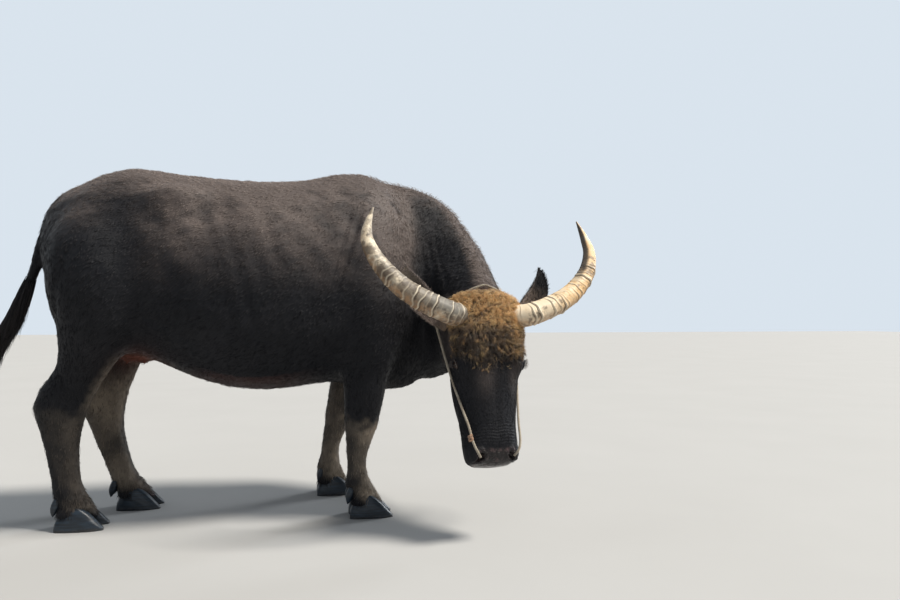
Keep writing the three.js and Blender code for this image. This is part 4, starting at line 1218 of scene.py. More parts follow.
class BuffaloSkin(bpy.types.PropertyGroup):
    voxel: metres("Skin Cell", "Width of the even cells that the skin is made of", 0.0075)
    swell: metres("Swell", "How far the parts of the body are swollen so that they join", 0.001)
    coat_depth: metres("Coat Depth", "How far the skin lies inside the coat's surface", 0.002)
    blend_rounds: count("Blending", "Rounds of smoothing where legs and hips join the trunk", 110)
    # The blue tint of the dark hide is painted skylight, the cool light in its shade.
    hide_dark: colour("Hide Dark", "Darkest hide", (0.0045, 0.0052, 0.0075))
    hide_light: colour("Hide Light", "Lighter hide", (0.0105, 0.0108, 0.0135))
    # Painted sunlight: the pale brown that sun and sheen give the hide on the back, shoulder and crest.
    painted_sunlight: colour("Sun Brown", "Hide bleached on the back", (0.125, 0.1, 0.09))
    stocking: colour("Stocking", "Hide of the lower legs", (0.055, 0.048, 0.042))
    # Partly painted sunlight: as pale as the sunlit front of a fore shank.
    stocking_light: colour("Stocking Light", "Palest hide of the lower legs", (0.44, 0.355, 0.265))
    bare_skin: colour("Bare Skin", "Reddish skin with little hair", (0.13, 0.042, 0.026))
    nose: colour("Nose", "Wet skin between the nostrils", (0.013, 0.0095, 0.0105))
    # Partly the nose's own pink mottling, partly painted highlights of its shine.
    nose_pink_and_shine: colour("Nose Light", "Paler patches of the wet skin", (0.1, 0.065, 0.065))
    hair_sheen: colour("Hair Sheen", "Pale streaks of the flat coat", (0.02, 0.018, 0.018))
    # Painted shade deep in the nostrils and along the mouth.
    painted_crease_shade: colour("Crease", "Skin deep in nostrils and mouth", (0.008, 0.005, 0.005))


class BuffaloCoat(bpy.types.PropertyGroup):
    # The blue tint of the dark hair is painted skylight, the cool light in its shade.
    hair_dark: colour("Hair Dark", "Darkest hair", (0.006, 0.0065, 0.0088))
    hair_light: colour("Hair Light", "Lighter hair", (0.023, 0.0225, 0.0255))
    # The hair's own pale brown on lashes, ears and tail, and painted sunlight and sheen on the back, shoulder and
    # crest.
    hair_tan_and_sunlight: colour("Hair Brown", "Sun-bleached hair", (0.34, 0.275, 0.245))
    stocking: colour("Leg Hair", "Hair of the lower legs", (0.09, 0.075, 0.06))
    # Partly painted sunlight: as pale as the sunlit front of a fore shank.
    stocking_light: colour("Leg Hair Light", "Palest hair of the lower legs", (0.58, 0.47, 0.365))
    bare_skin: colour("Reddish Hair", "Hair over reddish skin", (0.15, 0.065, 0.04))
    gold_dark: colour("Gold Dark", "Darker tips of the forehead hair", (0.62, 0.31, 0.1))
    gold_light: colour("Gold Light", "Palest tips of the forehead hair", (1.0, 0.74, 0.39))
    trunk: count("Trunk Tufts", "Tufts on each side of the trunk", 16000)
    legs: count("Leg Tufts", "Tufts on the legs", 12000)
    neck: count("Neck Tufts", "Tufts on the neck", 14000)
    face: count("Face Tufts", "Tufts on the face", 14000)
    ridge: count("Ridge Tufts", "Longer tufts on the crest, back, belly, throat and legs", 9000)
    forelock: count("Forelock Tufts", "Curled tufts on each half of the forehead", 8600)
    ears: count("Ear Tufts", "Tufts in and round each ear", 1800)
    switch: count("Tail Locks", "Locks of the tail's tuft", 3000)


class BuffaloHorn(bpy.types.PropertyGroup):
    ridges: count("Ridges", "Growth ridges from the base past the middle of a horn", 19)
    ridge_height: metres("Ridge Height", "How far the ridges stand out", 0.0032)
    cream: colour("Cream", "Palest horn", (0.78, 0.68, 0.52))
    grey: colour("Grey", "Greyer horn", (0.125, 0.12, 0.105))
    tan: colour("Tan", "Browned lower side", (0.34, 0.18, 0.075))
    brown: colour("Brown", "Grooves, flecks and stains", (0.055, 0.036, 0.023))
    # Partly painted sunlight: the ochre stands mostly on the left horn, which the sun lights.
    ochre: colour("Ochre", "Warmer stretches of the left horn", (0.66, 0.42, 0.19))
    # Painted shade on the inner edge of the left horn's point.
    black: colour("Black", "Inner edge of the left horn's point", (0.012, 0.013, 0.016))


class BuffaloParts(bpy.types.PropertyGroup):
    # The blue in both hoof colours is a painted reflection of the sky; the hoof itself is black.
    hoof_dark: colour("Hoof Dark", "Darkest hoof", (0.006, 0.010, 0.0155))
    hoof_light: colour("Hoof Light", "Lighter growth rings", (0.016, 0.03, 0.047))
    dust: colour("Dust", "Dust on the hooves", (0.25, 0.2, 0.15))
    iris: colour("Iris", "Iris", (0.06, 0.026, 0.012))
    iris_dark: colour("Iris Dark", "Darker iris", (0.015, 0.007, 0.004))
    eye_white: colour("Eye Rim", "Brown rim of the eyeball", (0.03, 0.018, 0.014))
    pupil: colour("Pupil", "Pupil", (0.001, 0.001, 0.002))
    cord: colour("Cord", "Rope", (0.34, 0.3, 0.235))
    cord_soiled: colour("Cord Soiled", "Soiled rope", (0.25, 0.2, 0.15))
    cord_knot: colour("Cord Knot", "Reddish knot", (0.26, 0.13, 0.07))
    rope_radius: metres("Rope Radius", "Half thickness of the rope", 0.0042)


class BuffaloStage(bpy.types.PropertyGroup):
    floor: colour("Floor", "Floor", (0.36, 0.357, 0.35))
    floor_light: colour("Floor Light", "Floor where it is lighter", (0.39, 0.387, 0.38))
    backdrop: colour("Backdrop", "Light of the backdrop", (0.82, 0.91, 1.0))
    ambient: bpy.props.FloatProperty(
        name="Ambient", description="Strength of the light all round", default=0.3)
    lens: bpy.props.FloatProperty(
        name="Lens", description="Focal length of the camera", default=28.0, unit="CAMERA")


# Operators

class BUFFALO_OT_hide(bpy.types.Operator):
    """Builds the whole skin of the animal, with its ears"""

    bl_idname = "buffalo.hide"
    bl_label = "Hide"

    def execute(self, context):
        settings = context.scene.buffalo_skin
        points, faces, values = make_skin(settings)
        made = mesh_object("hide", points, faces, hide_paint(settings), values)
        placed(made, "hide", "head", "ear_left", "ear_right", *BODY_NODES)
        return {"FINISHED"}


class BUFFALO_OT_eyes(bpy.types.Operator):
    """Builds the eyeballs with cornea, iris and pupil"""

    bl_idname = "buffalo.eyes"
    bl_label = "Eyes"

    def execute(self, context):
        paint = eye_paint(context.scene.buffalo_parts)
        for side, name in SIDES:
            centre, look, slit, brow = eye_frame(side)
            points, triangles = ball([0, 0, 0], [1, 1, 1], 48, 64)
            way = unit(points)
            facing = way @ look
            bulge = 1.8 * smooth_step(0.76, 0.94, facing)
            along, up = way @ slit, way @ brow
            values = {"out": np.arccos(np.clip(facing, -1, 1)),
                      "pupil": np.hypot(along / 0.3, up / 0.16) + 9 * (facing < 0)}
            surface = from_head(centre + way * (EYE_RADIUS - 0.6 + bulge)[:, None])
            made = mesh_object(f"eyeball_{name}", surface, facing_out(points, triangles), paint, values)
            placed(made, "eye", f"eye_{name}")
        return {"FINISHED"}


class BUFFALO_OT_horns(bpy.types.Operator):
    """Builds the horns with their growth ridges and grooves"""

    bl_idname = "buffalo.horns"
    bl_label = "Horns"

    def execute(self, context):
        settings = context.scene.buffalo_horn
        paint = horn_paint(settings)
        for side, name in SIDES:
            points, triangles, values = horn_surface(side, settings)
            made = mesh_object(f"horn_shell_{name}", from_head(points), facing_out(points, triangles), paint, values)
            placed(made, "horn", f"horn_{name}")
        return {"FINISHED"}


def horn_surface(side, settings):
    """A horn in the head's frame. Ridges crowd towards the base and fade past its middle."""
    rings, sides = 380, 48
    rng = np.random.default_rng(31 + side)
    starts = 0.1 + 0.56 * (np.arange(settings.ridges) / settings.ridges) ** 0.92
    starts = starts + rng.uniform(-0.017, 0.017, settings.ridges)
    heights = rng.uniform(0.15, 1.4, settings.ridges)
    kept = {}

    def form(t, angle):
        rows = along_rows(HORN_ROWS, t)
        ahead = along_rows(HORN_ROWS, np.minimum(t + 0.01, 1))[..., :3]
        behind = along_rows(HORN_ROWS, np.maximum(t - 0.01, 0))[..., :3]
        along = unit(ahead - behind)
        across = unit(np.cross([0, 0, 1.0], along))
        up = np.cross(along, across)
        c, s = np.cos(angle), np.sin(angle)
        front = 0.25 + 0.6 * (0.5 + 0.5 * s) + 0.35 * (0.5 - 0.5 * c)
        ridge, groove, lip = np.zeros_like(t), np.zeros_like(t), np.zeros_like(t)
        slant = 0.006 * np.sin(2 * angle + 1) + 0.003 * np.sin(5 * angle)
        for start, height, lean in zip(starts, heights, rng.uniform(-0.009, 0.009, len(starts))):
            gap = t + slant + lean * np.cos(angle + 9 * start) - start
            partly = height * (0.35 + 0.65 * smooth_step(-0.7, 0.5, np.cos(angle + 70 * start)))
            edge = partly * np.exp(-(gap / 0.0035) ** 2)
            slope = partly * np.exp(-np.maximum(gap, 0) / 0.013) * smooth_step(-0.004, 0.002, gap)
            ridge += 0.55 * edge + 0.75 * slope
            lip += edge
            groove += partly * np.exp(-((gap + 0.0062) / 0.0032) ** 2)
        fade = smooth_step(0.74, 0.5, t) * smooth_step(0.02, 0.1, t)
        body_points = np.stack([t * 3, c, s], -1).reshape(-1, 3)
        uneven = waves(body_points, 0.9, 41 + side).reshape(t.shape)
        lift = settings.ridge_height / MM * fade * front * (ridge - 0.6 * groove) + 0.9 * uneven * (1 - t)
        keel = 1 + 0.05 * np.cos(3 * angle + 0.6) * (1 - t)
        radius = rows[..., 3] * keel + lift
        kept["along"] = np.append(t.ravel(), [0, 1])
        shown = 1 if side < 0 else 0.35 + 0.65 * smooth_step(0.1, -0.8, c)
        kept["groove"] = np.append(np.clip(groove * fade * front * shown, 0, 1).ravel(), [0, 0])
        kept["lip"] = np.append(np.clip(lip * fade, 0, 1).ravel(), [0, 0])
        kept["under"] = np.append((smooth_step(0.2, 0.9, -c) * smooth_step(0.95, 0.6, t)).ravel(), [0, 0])
        # The left horn's extra ochre and paleness, and the right horn's grey, are painted sunlight and painted
        # shade.
        warm = (0.3 + 0.65 * smooth_step(0.2, 0.4, t)) * (1.0 if side > 0 else 0.15)
        kept["warm"] = np.append(warm.ravel(), [0, 0])
        kept["horn_in_sun"] = np.full(t.size + 2, 1.0 if side > 0 else 0.1)
        # Painted shade: near-black along the inner edge of the left horn's point.
        inner = smooth_step(0.35, 0.75, c + 0.6 * smooth_step(0.75, 1.0, t)) * smooth_step(0.42, 0.6, t)
        kept["black"] = np.append((inner * (side > 0)).ravel(), [0, float(side > 0)])
        points = rows[..., :3] + across * (radius * c)[..., None] + up * (radius * rows[..., 4] * s)[..., None]
        return points * [1, side, 1]

    points, triangles = swept(form, rings, sides)
    return points, triangles, kept


class BUFFALO_OT_hooves(bpy.types.Operator):
    """Builds the claws and dewclaws of the four feet"""

    bl_idname = "buffalo.hooves"
    bl_label = "Hooves"

    def execute(self, context):
        paint = hoof_paint(context.scene.buffalo_parts)
        for leg in LEGS:
            middle = np.mean([np.array(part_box(f"{leg}_claw_{which}")).mean(0) for which in CLAWS], axis=0)
            for which in CLAWS:
                claw, dewclaw = f"{leg}_claw_{which}", f"{leg}_dewclaw_{which}"
                surface = claw_surface(claw, middle)
                shell(f"{leg}_hoof_{which}", surface, paint, "hoof", claw, height=surface[0][:, 2])
                surface = dewclaw_surface(dewclaw)
                shell(f"{leg}_spur_{which}", surface, paint, "hoof", dewclaw, height=surface[0][:, 2])
        return {"FINISHED"}


def claw_surface(node, middle):
    """One claw with a flat sole and growth rings, at its node's place."""
    low, high = (np.array(corner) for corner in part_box(node))
    centre = (low + high) / 2
    outward = np.sign(centre[1] - middle[1])
    length = (high[0] - low[0]) / MM
    turn = outward * CLAW_SPLAY

    def form(t, angle):
        x, height, half = np.moveaxis(along_rows(CLAW_ROWS, t), -1, 0)
        c, s = np.cos(angle), np.sin(angle)
        ring = 0.5 * np.sin(2 * math.pi * (0.5 * np.abs(s) * height + 0.3 * x) / 11)
        ring = ring * smooth_step(0.0, 0.3, s) * smooth_step(0.02, 0.12, t)
        power = 0.8
        y = (half + ring * 0.6) * np.sign(c) * np.abs(c) ** power
        z = np.where(s > 0, (height + ring) * np.abs(s) ** power, 0.4 * s)
        inner = np.where(c * outward < 0, 0.9, 1.0)
        flat_x = x - length / 2
        return np.stack([
            flat_x * math.cos(turn) - y * inner * math.sin(turn),
            flat_x * math.sin(turn) + y * inner * math.cos(turn),
            np.maximum(z, 0),
        ], -1)

    points, triangles = swept(form, 46, 80)
    points = points * MM
    points[:, 0] += centre[0]
    points[:, 1] += centre[1]
    return points, triangles


def dewclaw_surface(node):
    """A blunt spur with growth rings, filling its node's box."""
    low, high = (np.array(corner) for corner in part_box(node))

    def form(t, angle):
        radius = (0.5 + 0.5 * np.sin(math.pi * (0.1 + 0.75 * t))) * np.maximum(1 - t ** 2.4, 0.02) ** 0.6
        radius = radius * (1 + 0.015 * np.sin(28 * t))
        return np.stack([
            0.5 + 0.3 * (0.5 - t) + 0.35 * radius * np.cos(angle),
            0.5 + 0.5 * radius * np.sin(angle),
            1 - t,
        ], -1)

    points, triangles = swept(form, 28, 24)
    return low + points * (high - low), triangles


class BUFFALO_OT_halter(bpy.types.Operator):
    """Builds the twisted rope halter, with its knot"""

    bl_idname = "buffalo.halter"
    bl_label = "Halter"

    def execute(self, context):
        settings = context.scene.buffalo_parts
        paint = rope_paint(settings)
        routes = {
            "halter_nape": nape_line(),
            "halter_left": from_head(CHEEK_ROPE),
            "halter_right": from_head(np.array(CHEEK_ROPE) * [1, -1, 1]),
        }
        for node, corners in routes.items():
            route = along_rows(corners, np.linspace(0, 1, 240))
            rope = twisted(route, settings.rope_radius)
            shell(f"{node}_rope", rope, paint, "rope", node, knot=np.zeros(len(rope[0])))
        knot = knot_surface(settings.rope_radius)
        shell("halter_knot_rope", knot, paint, "rope", "halter_knot", knot=np.full(len(knot[0]), 0.8))
        return {"FINISHED"}


def nape_line():
    """The middle line of the frame's rope over the nape, a six-sided tube from right to left."""
    points, _ = read_mesh(frame["nodes"]["halter_nape"].data)
    points = np.unique(np.round(points, 6), axis=0)
    points = points[np.argsort(to_head(points)[:, 1])]
    return points.reshape(-1, 6, 3).mean(1)


def rope_frame(route):
    along = unit(np.gradient(route, axis=0))
    across = unit(np.cross(along, HEAD_AXES[2] + 0.3 * HEAD_AXES[0]))
    return across, np.cross(along, across)


def twisted(route, radius):
    """Three strands wound round the route."""
    across, up = rope_frame(route)
    distance = np.append(0, np.cumsum(np.linalg.norm(np.diff(route, axis=0), axis=1)))
    pitch = 6.5 * radius
    parts = []
    for strand in range(3):
        turn = 2 * math.pi * (distance / pitch + strand / 3)
        middle = route + 0.48 * radius * (across * np.cos(turn)[:, None] + up * np.sin(turn)[:, None])
        angle = np.arange(8) * 2 * math.pi / 8
        c, s = np.cos(angle)[:, None], np.sin(angle)[:, None]
        ring = 0.56 * radius * (across[:, None] * c + up[:, None] * s)
        points = middle[:, None] + ring
        ends = np.stack([middle[0], middle[-1]])
        parts.append((np.concatenate([points.reshape(-1, 3), ends]), grid_faces(len(route), 8)))
    return join_arrays(parts)


def knot_surface(radius):
    """A tight overhand knot of the same rope."""
    centre, half = from_head(KNOT_AT), KNOT_RADIUS * MM
    t = np.linspace(0, 2 * math.pi, 121)[:-1]
    loop = np.stack([np.sin(t) + 2 * np.sin(2 * t), np.cos(t) - 2 * np.cos(2 * t), -1.1 * np.sin(3 * t)], -1) / 3
    route = centre + (half - radius) * loop @ np.array([HEAD_AXES[0], HEAD_AXES[2], HEAD_AXES[1]])
    route = np.concatenate([route, route[:1]])
    return twisted(route, radius * 1.15)


class BUFFALO_OT_coat(bpy.types.Operator):
    """Grows the short flat coat of the trunk, neck, legs and face"""

    bl_idname = "buffalo.coat"
    bl_label = "Short Coat"

    def execute(self, context):
        settings = context.scene.buffalo_coat
        paint = coat_paint("coat", settings)

        def trunk(side):
            return lambda b, h: smooth_step(0.45, 0.55, b[:, 2]) * (b[:, 0] < 0.62) * off_head_share(h) * (
                side * b[:, 1] > 0)

        def neck(b, h):
            return (b[:, 0] > 0.56) * (b[:, 2] > 0.4) * off_head_share(h)

        def legs(b, h):
            return smooth_step(0.6, 0.5, b[:, 2]) * off_head_share(h) * (b[:, 2] > 0.03)

        def face(b, h):
            return (1 - off_head_share(h)) * smooth_step(60, 180, h[:, 0]) * (np.abs(h[:, 1]) < 160)

        for side, name in SIDES:
            short_coat(f"coat_trunk_{name}", paint, settings.trunk, 10 + side, trunk(side), 0.02, 0.0017, lift=0.03)
        short_coat("coat_neck", paint, settings.neck, 21, neck, 0.022, 0.0016, lift=0.04)
        short_coat("coat_legs", paint, settings.legs, 31, legs, 0.014, 0.0014, lift=0.05)
        short_coat("coat_face", paint, settings.face, 41, face, 0.010, 0.0010, lift=0.06)
        return {"FINISHED"}


class BUFFALO_OT_ridge(bpy.types.Operator):
    """Grows the longer hair of the crest, back, belly, throat, legs and fetlocks"""

    bl_idname = "buffalo.ridge"
    bl_label = "Ridge Hair"

    def execute(self, context):
        settings = context.scene.buffalo_coat
        paint = coat_paint("ridge_hair", settings)

        def density(middles):
            b = both_sides(middles - BODY_ORIGIN)
            h = to_head(middles)
            top = smooth_step(0.09, 0.02, b[:, 1]) * (b[:, 2] > 1.0) * (b[:, 0] < 0.66)
            crest = crest_share(middles - BODY_ORIGIN)
            belly = 0.5 * smooth_step(0.56, 0.46, b[:, 2]) * (b[:, 1] < 0.1) * (b[:, 0] > -0.3)
            feet = 3.0 * smooth_step(0.14, 0.11, b[:, 2]) * smooth_step(0.03, 0.05, b[:, 2])
            backs = 0.3 * smooth_step(0.6, 0.5, b[:, 2])
            throat = 0.8 * smooth_step(-190, -235, h[:, 2]) * (h[:, 0] > 0) * (1 - off_head_share(h))
            return (top + 2.4 * crest + belly + backs + feet) * off_head_share(h) + throat

        roots, normals = sown(settings.ridge, density, 61)
        rng = np.random.default_rng(62)
        lies = lie_of_coat(roots) + 0.22 * rng.normal(size=roots.shape)
        body = roots - BODY_ORIGIN
        crest = crest_share(body)
        length = 0.022 + 0.006 * crest
        values = markings(roots, normals)
        clump, _ = clumped(roots, 0.014, 64)
        placed(grow("ridge_coat", paint, roots, normals, lies, length, 0.0015, values, rings=3,
                    lift=0.08 + 0.08 * crest, tip_lift=0.06 + 0.16 * crest, curl=0.15, seed=63, clump=clump), "hide")
        return {"FINISHED"}


def crest_share(body):
    """1 along the top line of the neck."""
    line = along_rows(CREST_ROWS, np.linspace(0, 1, 60)) * MM
    distance = np.min(np.linalg.norm(body[:, None] - line[None], axis=2), axis=1)
    return smooth_step(0.06, 0.02, distance)


class BUFFALO_OT_forelock(bpy.types.Operator):
    """Grows the curled hair of the forehead, brows and horn bases, and the lashes"""

    bl_idname = "buffalo.forelock"
    bl_label = "Forelock"

    def execute(self, context):
        settings = context.scene.buffalo_coat
        paint = coat_paint("forelock_hair", settings, sheen=0.15)

        def density(middles):
            h = to_head(middles)
            front = smooth_step(-75, -40, h[:, 2]) * (np.abs(h[:, 1]) < 150)
            poll = smooth_step(-125, -90, h[:, 2]) * (h[:, 0] < 50)
            end = 196 + 22 * waves(h, 75, 78) + 26 * bump_at(h, (220, -15, 0), (90, 26, 90))
            end = end + 14 * bump_at(both_sides(h), (200, 62, 0), (90, 24, 90))
            reach = smooth_step(-30, -5, h[:, 0]) * smooth_step(end + 62, end - 30, h[:, 0]) ** 1.5
            eyes = eye_distance(h) > 36
            return np.maximum(front, poll) * reach * eyes * (1 - off_head_share(h))

        for part, seed in (("upper", 71), ("lower", 72)):
            def half(middles, upper=part == "upper"):
                x = to_head(middles)[:, 0]
                return density(middles) * ((x < 88) == upper)
            roots, normals = sown(settings.forelock, half, seed)
            curls(f"forelock_{part}", paint, roots, normals, seed)
        lashes(paint)
        return {"FINISHED"}


def curls(name, paint, roots, normals, seed):
    """Woolly hair in small curled clumps, golden above and dark brown with pale tips below."""
    head = to_head(roots)
    rng = np.random.default_rng(seed + 10)
    clump, middle = clumped(roots, 0.0085, seed)
    x, y = head[:, 0:1], head[:, 1:2]
    swirl = rng.normal(size=(clump.max() + 1, 3))[clump]
    lies = HEAD_AXES[0] * (0.3 + 0.9 * smooth_step(60, 170, x)) + HEAD_AXES[1] * (y / 150)
    lies = lies + swirl * (0.7 - 0.35 * smooth_step(90, 190, x)) + 0.15 * rng.normal(size=roots.shape)
    lies = lies + (middle - roots) / 0.014
    # The gold is the forelock's own colour. It is also laid on thicker at the top and on the animal's left, as
    # painted sunlight, and taken off on the right brow below the horn, as painted shade. The 'brown' share at the
    # top is painted sunlight too.
    high = smooth_step(190, 60, head[:, 0])
    left = smooth_step(30, 95, head[:, 1]) * smooth_step(225, 150, head[:, 0])
    tufts = bump_at(both_sides(head), (178, 58, 0), (38, 30, 60))
    gold = smooth_step(150, 80, head[:, 0]) * smooth_step(-25, 25, head[:, 0] + 0.2 * np.abs(head[:, 1]))
    gold = gold + 0.35 * waves(head, 60, 77) + 0.5 * left + 0.55 * tufts * (swirl[:, 0] > 0.2)
    gold = gold - 0.6 * bump_at(head, (140, -112, -30), (45, 30, 60))
    gold = gold - 0.45 * (swirl[:, 2] > 0.9) * smooth_step(40, 90, head[:, 0])
    gold = np.maximum(gold, 0.6 * (swirl[:, 1] > 1.1))
    gold = np.clip(gold, 0.06 + 0.14 * high, 1) * rng.uniform(0.7, 1, clump.max() + 1)[clump]
    values = {"gold": gold, "brown": 0.06 + 0.34 * high}
    length = 0.0215 + 0.005 * high + 0.01 * tufts - 0.010 * smooth_step(180, 230, head[:, 0])
    placed(grow(name, paint, roots, normals, lies, length, 0.0015, values, rings=4, lift=0.32 + 0.08 * high,
                tip_lift=0.06, curl=1.25, seed=seed + 20, taper=1.2, clump=clump), "hair")


def lashes(paint):
    """Lashes on both lids of each eye."""
    roots, normals, lies = [], [], []
    for side in (1, -1):
        centre, look, slit, brow = eye_frame(side)
        for edge, across in ((1, np.linspace(-15, 14, 52)), (-1, np.linspace(-13, 4, 12))):
            for along in across:
                span = max(0.0, 1 - (along / SLIT_HALF) ** 2)
                up = edge * (9.7 if edge > 0 else 8.2) * span ** 0.8
                out = math.sqrt(max(0.0, (EYE_RADIUS + 4.5) ** 2 - along ** 2 - up ** 2))
                roots.append(centre + slit * along + brow * up + look * out)
                normals.append(brow * edge)
                lies.append(unit(look + slit * along / 25))
    roots = from_head(np.array(roots))
    normals, lies = np.array(normals) @ HEAD_AXES, np.array(lies) @ HEAD_AXES
    values = {"brown": np.full(len(roots), 0.8)}
    placed(grow("lashes", paint, roots, normals, lies, 0.0105, 0.0007, values, rings=4, lift=-0.1,
                tip_lift=0.7, curl=0.2, seed=81, sunk=0.0), "hair")


class BUFFALO_OT_ear_hair(bpy.types.Operator):
    """Grows the fringe round each ear, the pale hair inside it and the hair at its root"""

    bl_idname = "buffalo.ear_hair"
    bl_label = "Ear Hair"

    def execute(self, context):
        settings = context.scene.buffalo_coat
        paint = coat_paint("ear_hair", settings)
        for side, name in SIDES:
            points, faces, inner = ear_surface(side)
            normals = point_normals(points, faces)
            rng = np.random.default_rng(90 + side)
            ring, angle = ear_grid()
            rim = np.abs(np.cos(angle)) ** 6
            within = inner[:-2]
            weight = 1.3 * rim + 1.5 * within + 0.35
            weight = weight * smooth_step(0.0, 0.1, ring)
            chosen = rng.choice(len(weight), settings.ears, p=weight / weight.sum())
            along = unit(from_head(np.array(EARS[side][2]) * [1, side, 1]) - from_head(
                np.array(EARS[side][0]) * [1, side, 1]))
            outward = unit(points[chosen] - points[chosen].mean(0))
            lies = along + 0.3 * normals[chosen] * rim[chosen, None] + 0.2 * outward
            lies = lies + 0.3 * rng.normal(size=lies.shape)
            roots = points[chosen] + rng.normal(size=(len(chosen), 3)) * 0.0012
            # The pale inner hair is real; the right ear's hair is painted pale all over as painted sunlight on it.
            pale = np.maximum(within[chosen], 0.75 * (side < 0)) + 0.25 * rng.uniform(size=len(chosen)) * rim[chosen]
            pale = np.clip(pale, 0, 1)
            length = 0.007 + 0.013 * within[chosen] + 0.002 * rim[chosen]
            values = {"brown": pale, "pink": 0.12 * within[chosen]}
            placed(grow(f"ear_hair_{name}", paint, roots, normals[chosen], lies, length, 0.0012, values, rings=3,
                        lift=0.12, tip_lift=0.2 * rim[chosen] + 0.06, curl=0.3, seed=95 + side), "hair")
        return {"FINISHED"}


class BUFFALO_OT_tail(bpy.types.Operator):
    """Grows the tuft of long locks at the end of the tail"""

    bl_idname = "buffalo.tail"
    bl_label = "Tail Switch"

    def execute(self, context):
        settings = context.scene.buffalo_coat
        paint = coat_paint("tail_hair", settings)
        rng = np.random.default_rng(101)
        number = settings.switch
        t = 0.62 + 0.38 * rng.uniform(size=number) ** 0.8
        rows = along_rows(DOCK_ROWS, t)
        ahead = along_rows(DOCK_ROWS, np.minimum(t + 0.02, 1))
        behind = along_rows(DOCK_ROWS, t - 0.02)
        along = unit(ahead[:, :3] - behind[:, :3])
        sideways = unit(np.cross(along, [0.3, 0, 1.0]))
        back = np.cross(along, sideways)
        angle = rng.uniform(0, 2 * math.pi, number)
        normals = sideways * np.cos(angle)[:, None] + back * np.sin(angle)[:, None]
        roots = from_body(rows[:, :3] + normals * rows[:, 3:4] * 0.92)
        lies = along + [0, 0, -0.35] + normals * 0.1 + 0.05 * rng.normal(size=roots.shape)
        length = 0.15 + 0.04 * rng.uniform(size=number) * smooth_step(0.6, 0.9, t)
        values = {"brown": 0.12 * rng.uniform(size=number)}
        clump, _ = clumped(roots, 0.013, 104)
        made = grow("switch_locks", paint, roots, normals, lies, length, 0.0024, values, rings=6, lift=0.02,
                    tip_lift=0.03, curl=0.03, wave=0.02, seed=103, taper=0.9, clump=clump)
        placed(made, "hair", "tail_switch")
        points, triangles = swept(dock_end, 24, 20)
        core = mesh_object("switch_core", from_body(points), facing_out(points, triangles), paint, {
            key: np.zeros(len(points)) for key in ("tip", "tint", "brown", "pale", "pink", "gold")})
        placed(core, "hair")
        return {"FINISHED"}


def dock_end(t, angle):
    """The hidden end of the dock, under the locks."""
    rows = along_rows(DOCK_ROWS, 0.78 + 0.22 * t)
    radius = rows[..., 3] * 0.9 * np.sqrt(np.maximum(1 - t ** 3, 0.02))
    return rows[..., :3] + np.stack([radius * np.cos(angle), radius * np.sin(angle), np.zeros_like(t)], -1)


class BUFFALO_OT_stage(bpy.types.Operator):
    """Sets the floor, lights, backdrop and the camera at the photograph's place"""

    bl_idname = "buffalo.stage"
    bl_label = "Stage"

    def execute(self, context):
        settings = context.scene.buffalo_stage
        corners = FLOOR_HALF * np.array([[-1, -1, 0], [1, -1, 0], [1, 1, 0], [-1, 1, 0]])
        floor = mesh_object("floor", corners, np.array([[0, 1, 2, 3]]), floor_paint(settings), smooth=False)
        for sun in SUNS:
            add_sun(*sun)
        world = context.scene.world or bpy.data.worlds.new("world")
        context.scene.world = world
        world.use_nodes = True
        light_world(world.node_tree, rgba(settings.backdrop), settings.ambient)
        # The camera stands on the animal's right, about level with its lowered head.
        camera = bpy.data.cameras.new("camera")
        camera.lens = settings.lens
        camera.sensor_width = SENSOR_WIDTH
        made = bpy.data.objects.new("camera", camera)
        context.scene.collection.objects.link(made)
        turn, pitch = CAMERA_TURN, math.atan(HORIZON_DROP / LENS_PIXELS)
        made.location = Vector(BODY_ORIGIN + CAMERA_AT)
        forward = Vector((math.sin(turn) * math.cos(pitch), math.cos(turn) * math.cos(pitch), math.sin(pitch)))
        made.rotation_mode = "QUATERNION"
        made.rotation_quaternion = forward.to_track_quat("-Z", "Y")
        context.scene.camera = made
        context.scene.view_settings.view_transform = "Standard"
        return {"FINISHED"}


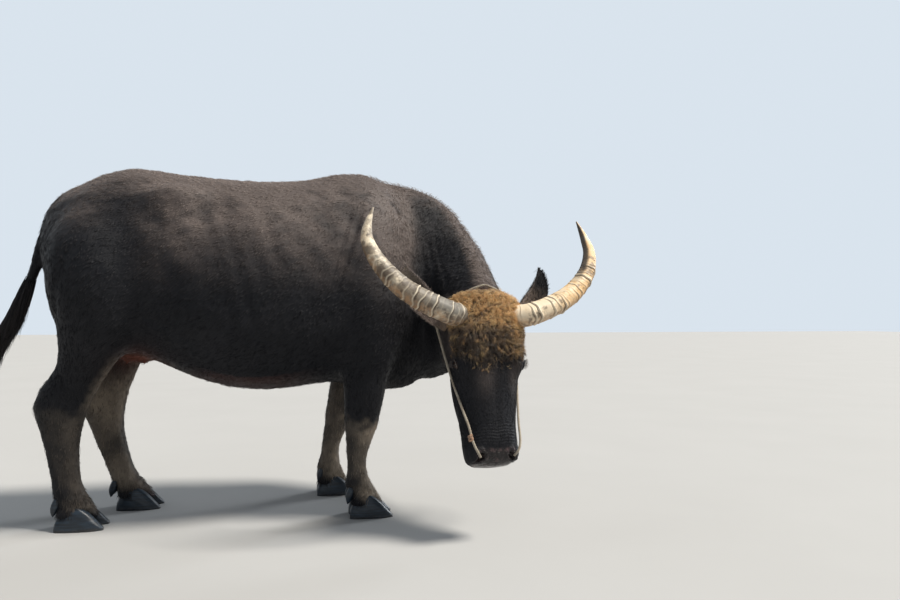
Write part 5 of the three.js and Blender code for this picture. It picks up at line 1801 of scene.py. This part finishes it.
def light_world(tree, colour, ambient):
    """An even pale backdrop that lights the animal less than it shows."""
    background = tree.nodes["Background"]
    background.inputs["Color"].default_value = colour
    path = tree.nodes.new("ShaderNodeLightPath")
    strength = tree.nodes.new("ShaderNodeMapRange")
    strength.inputs["To Min"].default_value = ambient
    strength.inputs["To Max"].default_value = 0.85
    tree.links.new(path.outputs["Is Camera Ray"], strength.inputs["Value"])
    tree.links.new(strength.outputs["Result"], background.inputs["Strength"])


def add_sun(name, way, spread, power, tone):
    """A soft light from far off, the given number of degrees wide."""
    light = bpy.data.lights.new(name, "SUN")
    light.angle = math.radians(spread)
    light.energy = power
    light.color = tone
    made = bpy.data.objects.new(name, light)
    bpy.context.scene.collection.objects.link(made)
    made.location = Vector(way) * 5
    made.rotation_mode = "QUATERNION"
    made.rotation_quaternion = (-Vector(way)).to_track_quat("-Z", "Y")


class BUFFALO_PT_panel(bpy.types.Panel):
    """Lists the pieces of the animal in the sidebar"""

    bl_idname = "BUFFALO_PT_panel"
    bl_label = "Water Buffalo"
    bl_space_type = "VIEW_3D"
    bl_region_type = "UI"
    bl_category = "Buffalo"

    def draw(self, context):
        for operator in OPERATORS:
            self.layout.operator(operator.bl_idname, text=operator.bl_label)


SETTINGS = {
    "buffalo_skin": BuffaloSkin,
    "buffalo_coat": BuffaloCoat,
    "buffalo_horn": BuffaloHorn,
    "buffalo_parts": BuffaloParts,
    "buffalo_stage": BuffaloStage,
}
OPERATORS = (
    BUFFALO_OT_stage,
    BUFFALO_OT_hide,
    BUFFALO_OT_eyes,
    BUFFALO_OT_horns,
    BUFFALO_OT_hooves,
    BUFFALO_OT_halter,
    BUFFALO_OT_coat,
    BUFFALO_OT_ridge,
    BUFFALO_OT_forelock,
    BUFFALO_OT_ear_hair,
    BUFFALO_OT_tail,
)


def register():
    for made in (*SETTINGS.values(), *OPERATORS, BUFFALO_PT_panel):
        bpy.utils.register_class(made)
    for key, group in SETTINGS.items():
        setattr(bpy.types.Scene, key, bpy.props.PointerProperty(type=group))


def unregister():
    for key in SETTINGS:
        delattr(bpy.types.Scene, key)
    for made in reversed((*SETTINGS.values(), *OPERATORS, BUFFALO_PT_panel)):
        bpy.utils.unregister_class(made)


def main():
    register()
    for operator in OPERATORS:
        group, name = operator.bl_idname.split(".")
        getattr(getattr(bpy.ops, group), name)()


if __name__ == "__main__":
    main()
